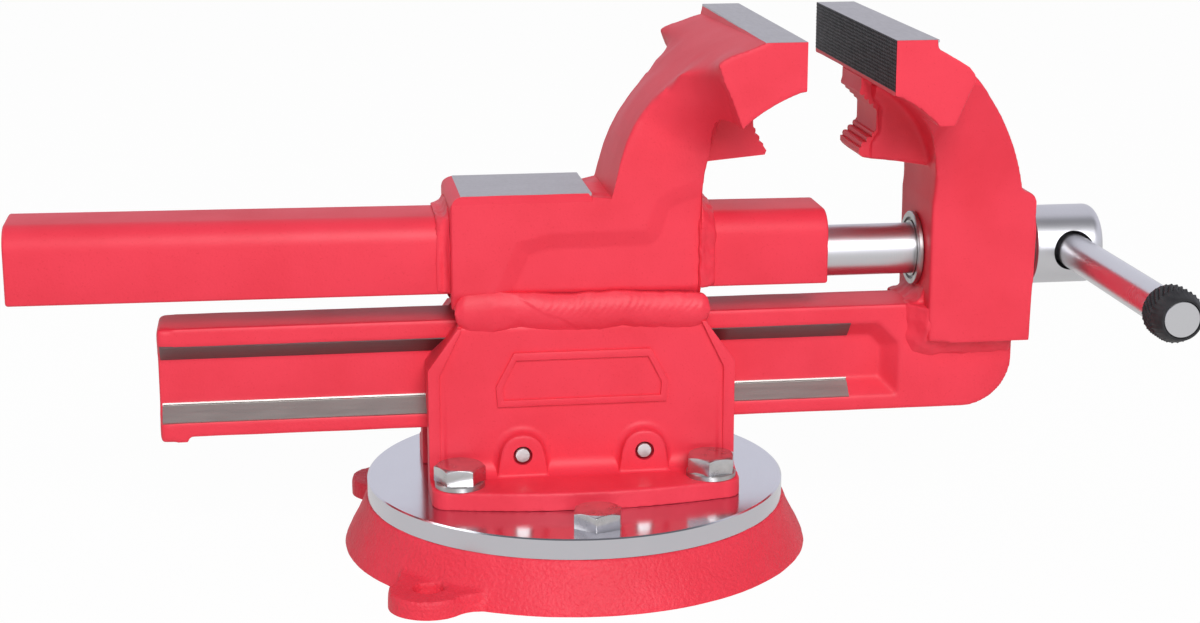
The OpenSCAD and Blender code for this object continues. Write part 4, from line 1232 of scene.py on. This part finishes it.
def spindle_disc(name, node, outer, groove):
    low, high = (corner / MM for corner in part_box(node))
    edge, inner, floor_x = 0.4, SPINDLE_R + 0.02, low.x + groove
    near, far = GROOVE_R
    face = [(far, low.x), (far, floor_x), (near, floor_x), (near, low.x)] if groove else []
    section = face + [(inner, low.x), (inner, high.x), (outer - edge, high.x), (outer, high.x - edge),
                      (outer, low.x + edge), (outer - edge, low.x)]
    piece = turned(name, section, (0, 0, SPINDLE_Z), "X", 96)
    return mount(shade(piece), "screw", "zinc_steel", dull_zinc, node)


spindle_disc("retaining_ring_disc", "retaining_ring", 14.6, 1.2)
spindle_disc("thrust_washer_disc", "thrust_washer", 14.0, 0)

# %% [markdown]
# ## The handle
# The tommy bar is drawn bar with a small chamfer. A black ring with a coarse diamond knurl is pressed on each
# end. The knurl could be a bump, but it shows at the outline, so the ring is spun in fine steps and its
# vertices sink in between the crests of two crossing waves.

# %% Handle bar and rings
HANDLE_R, HANDLE_HALF, GRIP_L, GRIP_R, GRIP_TIP = 6.75, 126.0, 15.0, 9.9, 7.4
HANDLE_EDGE, KNURLS, KNURL_DEEP = 0.5, 30, 1.0
handle = rod("tommy_bar_rod", HANDLE_R, -HANDLE_HALF, HANDLE_HALF, eye_centre, "Y", 96, HANDLE_EDGE)
mount(shade(handle), "handle", "bright_steel", handle_steel, "tommy_bar")


def handle_ring(side_name, side):
    start = HANDLE_HALF - GRIP_L
    section = [(HANDLE_R, 0), (GRIP_R - 2.2, 0), (GRIP_R - 0.7, 0.7), (GRIP_R, 2.0)]
    section += [(GRIP_R, s) for s in np.linspace(2.3, GRIP_L - 5.9, 30)]
    section += [(GRIP_R, GRIP_L - 5.6), (GRIP_R - 0.5, GRIP_L - 5.0), (GRIP_TIP + 0.3, GRIP_L - 0.4),
                (GRIP_TIP, GRIP_L), (HANDLE_R, GRIP_L)]
    piece = turned(side_name + "_knurled_ring", [(r, side * (start + s)) for r, s in section],
                   eye_centre, "Y", 10 * KNURLS)
    places = points(piece)
    from_axis = places[:, XZ] - (EYE_X, SPINDLE_Z)
    turn = np.arctan2(from_axis[:, 1], from_axis[:, 0]) * KNURLS
    radius = np.hypot(from_axis[:, 1], from_axis[:, 0])
    climb = 0.5 * places[:, 1] * KNURLS / GRIP_R
    crest = abs(np.cos((turn + climb) / 2)) * (0.7 + 0.3 * abs(np.cos((turn - 3 * climb) / 2)))
    sunk = 1 - KNURL_DEEP * (1 - crest) * ramp(radius, GRIP_R - 0.3, GRIP_R - 0.1) / GRIP_R
    places[:, XZ] = (EYE_X, SPINDLE_Z) + from_axis * sunk[:, None]
    put_points(piece, places)
    return mount(shade(piece), "handle", "black_oxide", black_oxide, side_name + "_handle_ring")


for side_name, side in PAIR:
    handle_ring(side_name, side)

# %% [markdown]
# ## Pieces inside
# The pivot pin, the clamp nuts, the guide shoe and the spindle nut are hidden or half hidden. Their CAD
# shapes are right as they are, so they stay, and only get their metal.

# %% Finishes of the inner pieces
for node, finish in (("pivot_pin", dark_steel), ("left_clamp_nut", zinc_steel), ("right_clamp_nut", zinc_steel),
                     ("guide_shoe", slide_steel), ("spindle_nut", dark_steel)):
    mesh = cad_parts[node].data
    mesh.materials.clear()
    mesh.materials.append(finish)
print("inner pieces keep their CAD shapes")

# %% [markdown]
# ## Studio
# The vise stands in a white studio with one large soft lamp in front, a weak one at the left and light from
# all round. Many small lamps could do the same, but few lamps are easier to follow. Camera and glossy rays
# see a white room. It is dark overhead on the near side and greyer at the back, which gives round bright
# steel its dark bands. The floor keeps a faint shadow.

# %% World
world = bpy.data.worlds.new("white_studio")
bpy.context.scene.world = world
world.use_nodes = True
room = Finish("room", world.node_tree)
rays, glossy, through = (room.node("ShaderNodeLightPath", output=kind)
                         for kind in ("Is Camera Ray", "Is Glossy Ray", "Is Transmission Ray"))
way = room.node("ShaderNodeTexCoord", output="Generated")
up = room.node("ShaderNodeSeparateXYZ", {}, {"Vector": way}, "Z")
back = room.node("ShaderNodeSeparateXYZ", {}, {"Vector": way}, "Y")
overhead = room.step(up, 0.5, 0.72) * (1 - room.step(back, -0.05, 0.15))
AMBIENT = 0.17
shine = glossy * (0.95 - 0.75 * overhead) * (1 - 0.06 * room.step(back, 0.0, 0.5))
level = rays + through + shine + AMBIENT * (1 - rays - through - glossy)
background = world.node_tree.nodes["Background"]
room.feed(background.inputs["Color"], room.mix(glossy, (1, 1, 1, 1), (0.9, 0.9, 1, 1)))
room.feed(background.inputs["Strength"], level)
print("room lit with ambient", AMBIENT)


# %% Lamps and floor
def soft_lamp(name, place, aim, size, power):
    data = bpy.data.lights.new(name, "AREA")
    data.shape, data.size, data.energy = "DISK", size, power
    lamp = bpy.data.objects.new(name, data)
    lamp.location = place
    lamp.rotation_euler = (Vector(aim) - Vector(place)).to_track_quat("-Z", "Y").to_euler()
    bpy.context.scene.collection.objects.link(lamp)
    return lamp


MIDDLE = (0.02, 0.0, 0.09)
soft_lamp("key_lamp", (0.15, -2.5, 1.72), MIDDLE, 1.8, 71.0)
soft_lamp("side_lamp", (-1.3, 0.1, 1.2), MIDDLE, 0.9, 4.0)

floor = added("studio_floor", bpy.ops.mesh.primitive_plane_add, size=8, location=(0, 0, 0))
paper = Finish("floor_paper", Base_Color=(0.9, 0.9, 0.9, 1), Roughness=0.9, Specular_IOR_Level=0.0)
out = paper.tree.nodes["Material Output"]
camera_ray, glossy_ray = (paper.node("ShaderNodeLightPath", output=kind)
                          for kind in ("Is Camera Ray", "Is Glossy Ray"))
glow = paper.node("ShaderNodeEmission", {}, {"Color": (1, 1, 1, 1), "Strength": 0.8 + 0.2 * camera_ray})
FAINT, GLOSSY_SHARE = 0.975, 0.8
share = camera_ray * FAINT + glossy_ray * GLOSSY_SHARE
blend = paper.node("ShaderNodeMixShader", {}, {0: share, 1: Socket(paper, paper.shader.outputs[0]), 2: glow})
paper.feed(out.inputs["Surface"], blend)
floor.data.materials.append(paper.material)
print("floor shadow", round(1 - FAINT, 2))
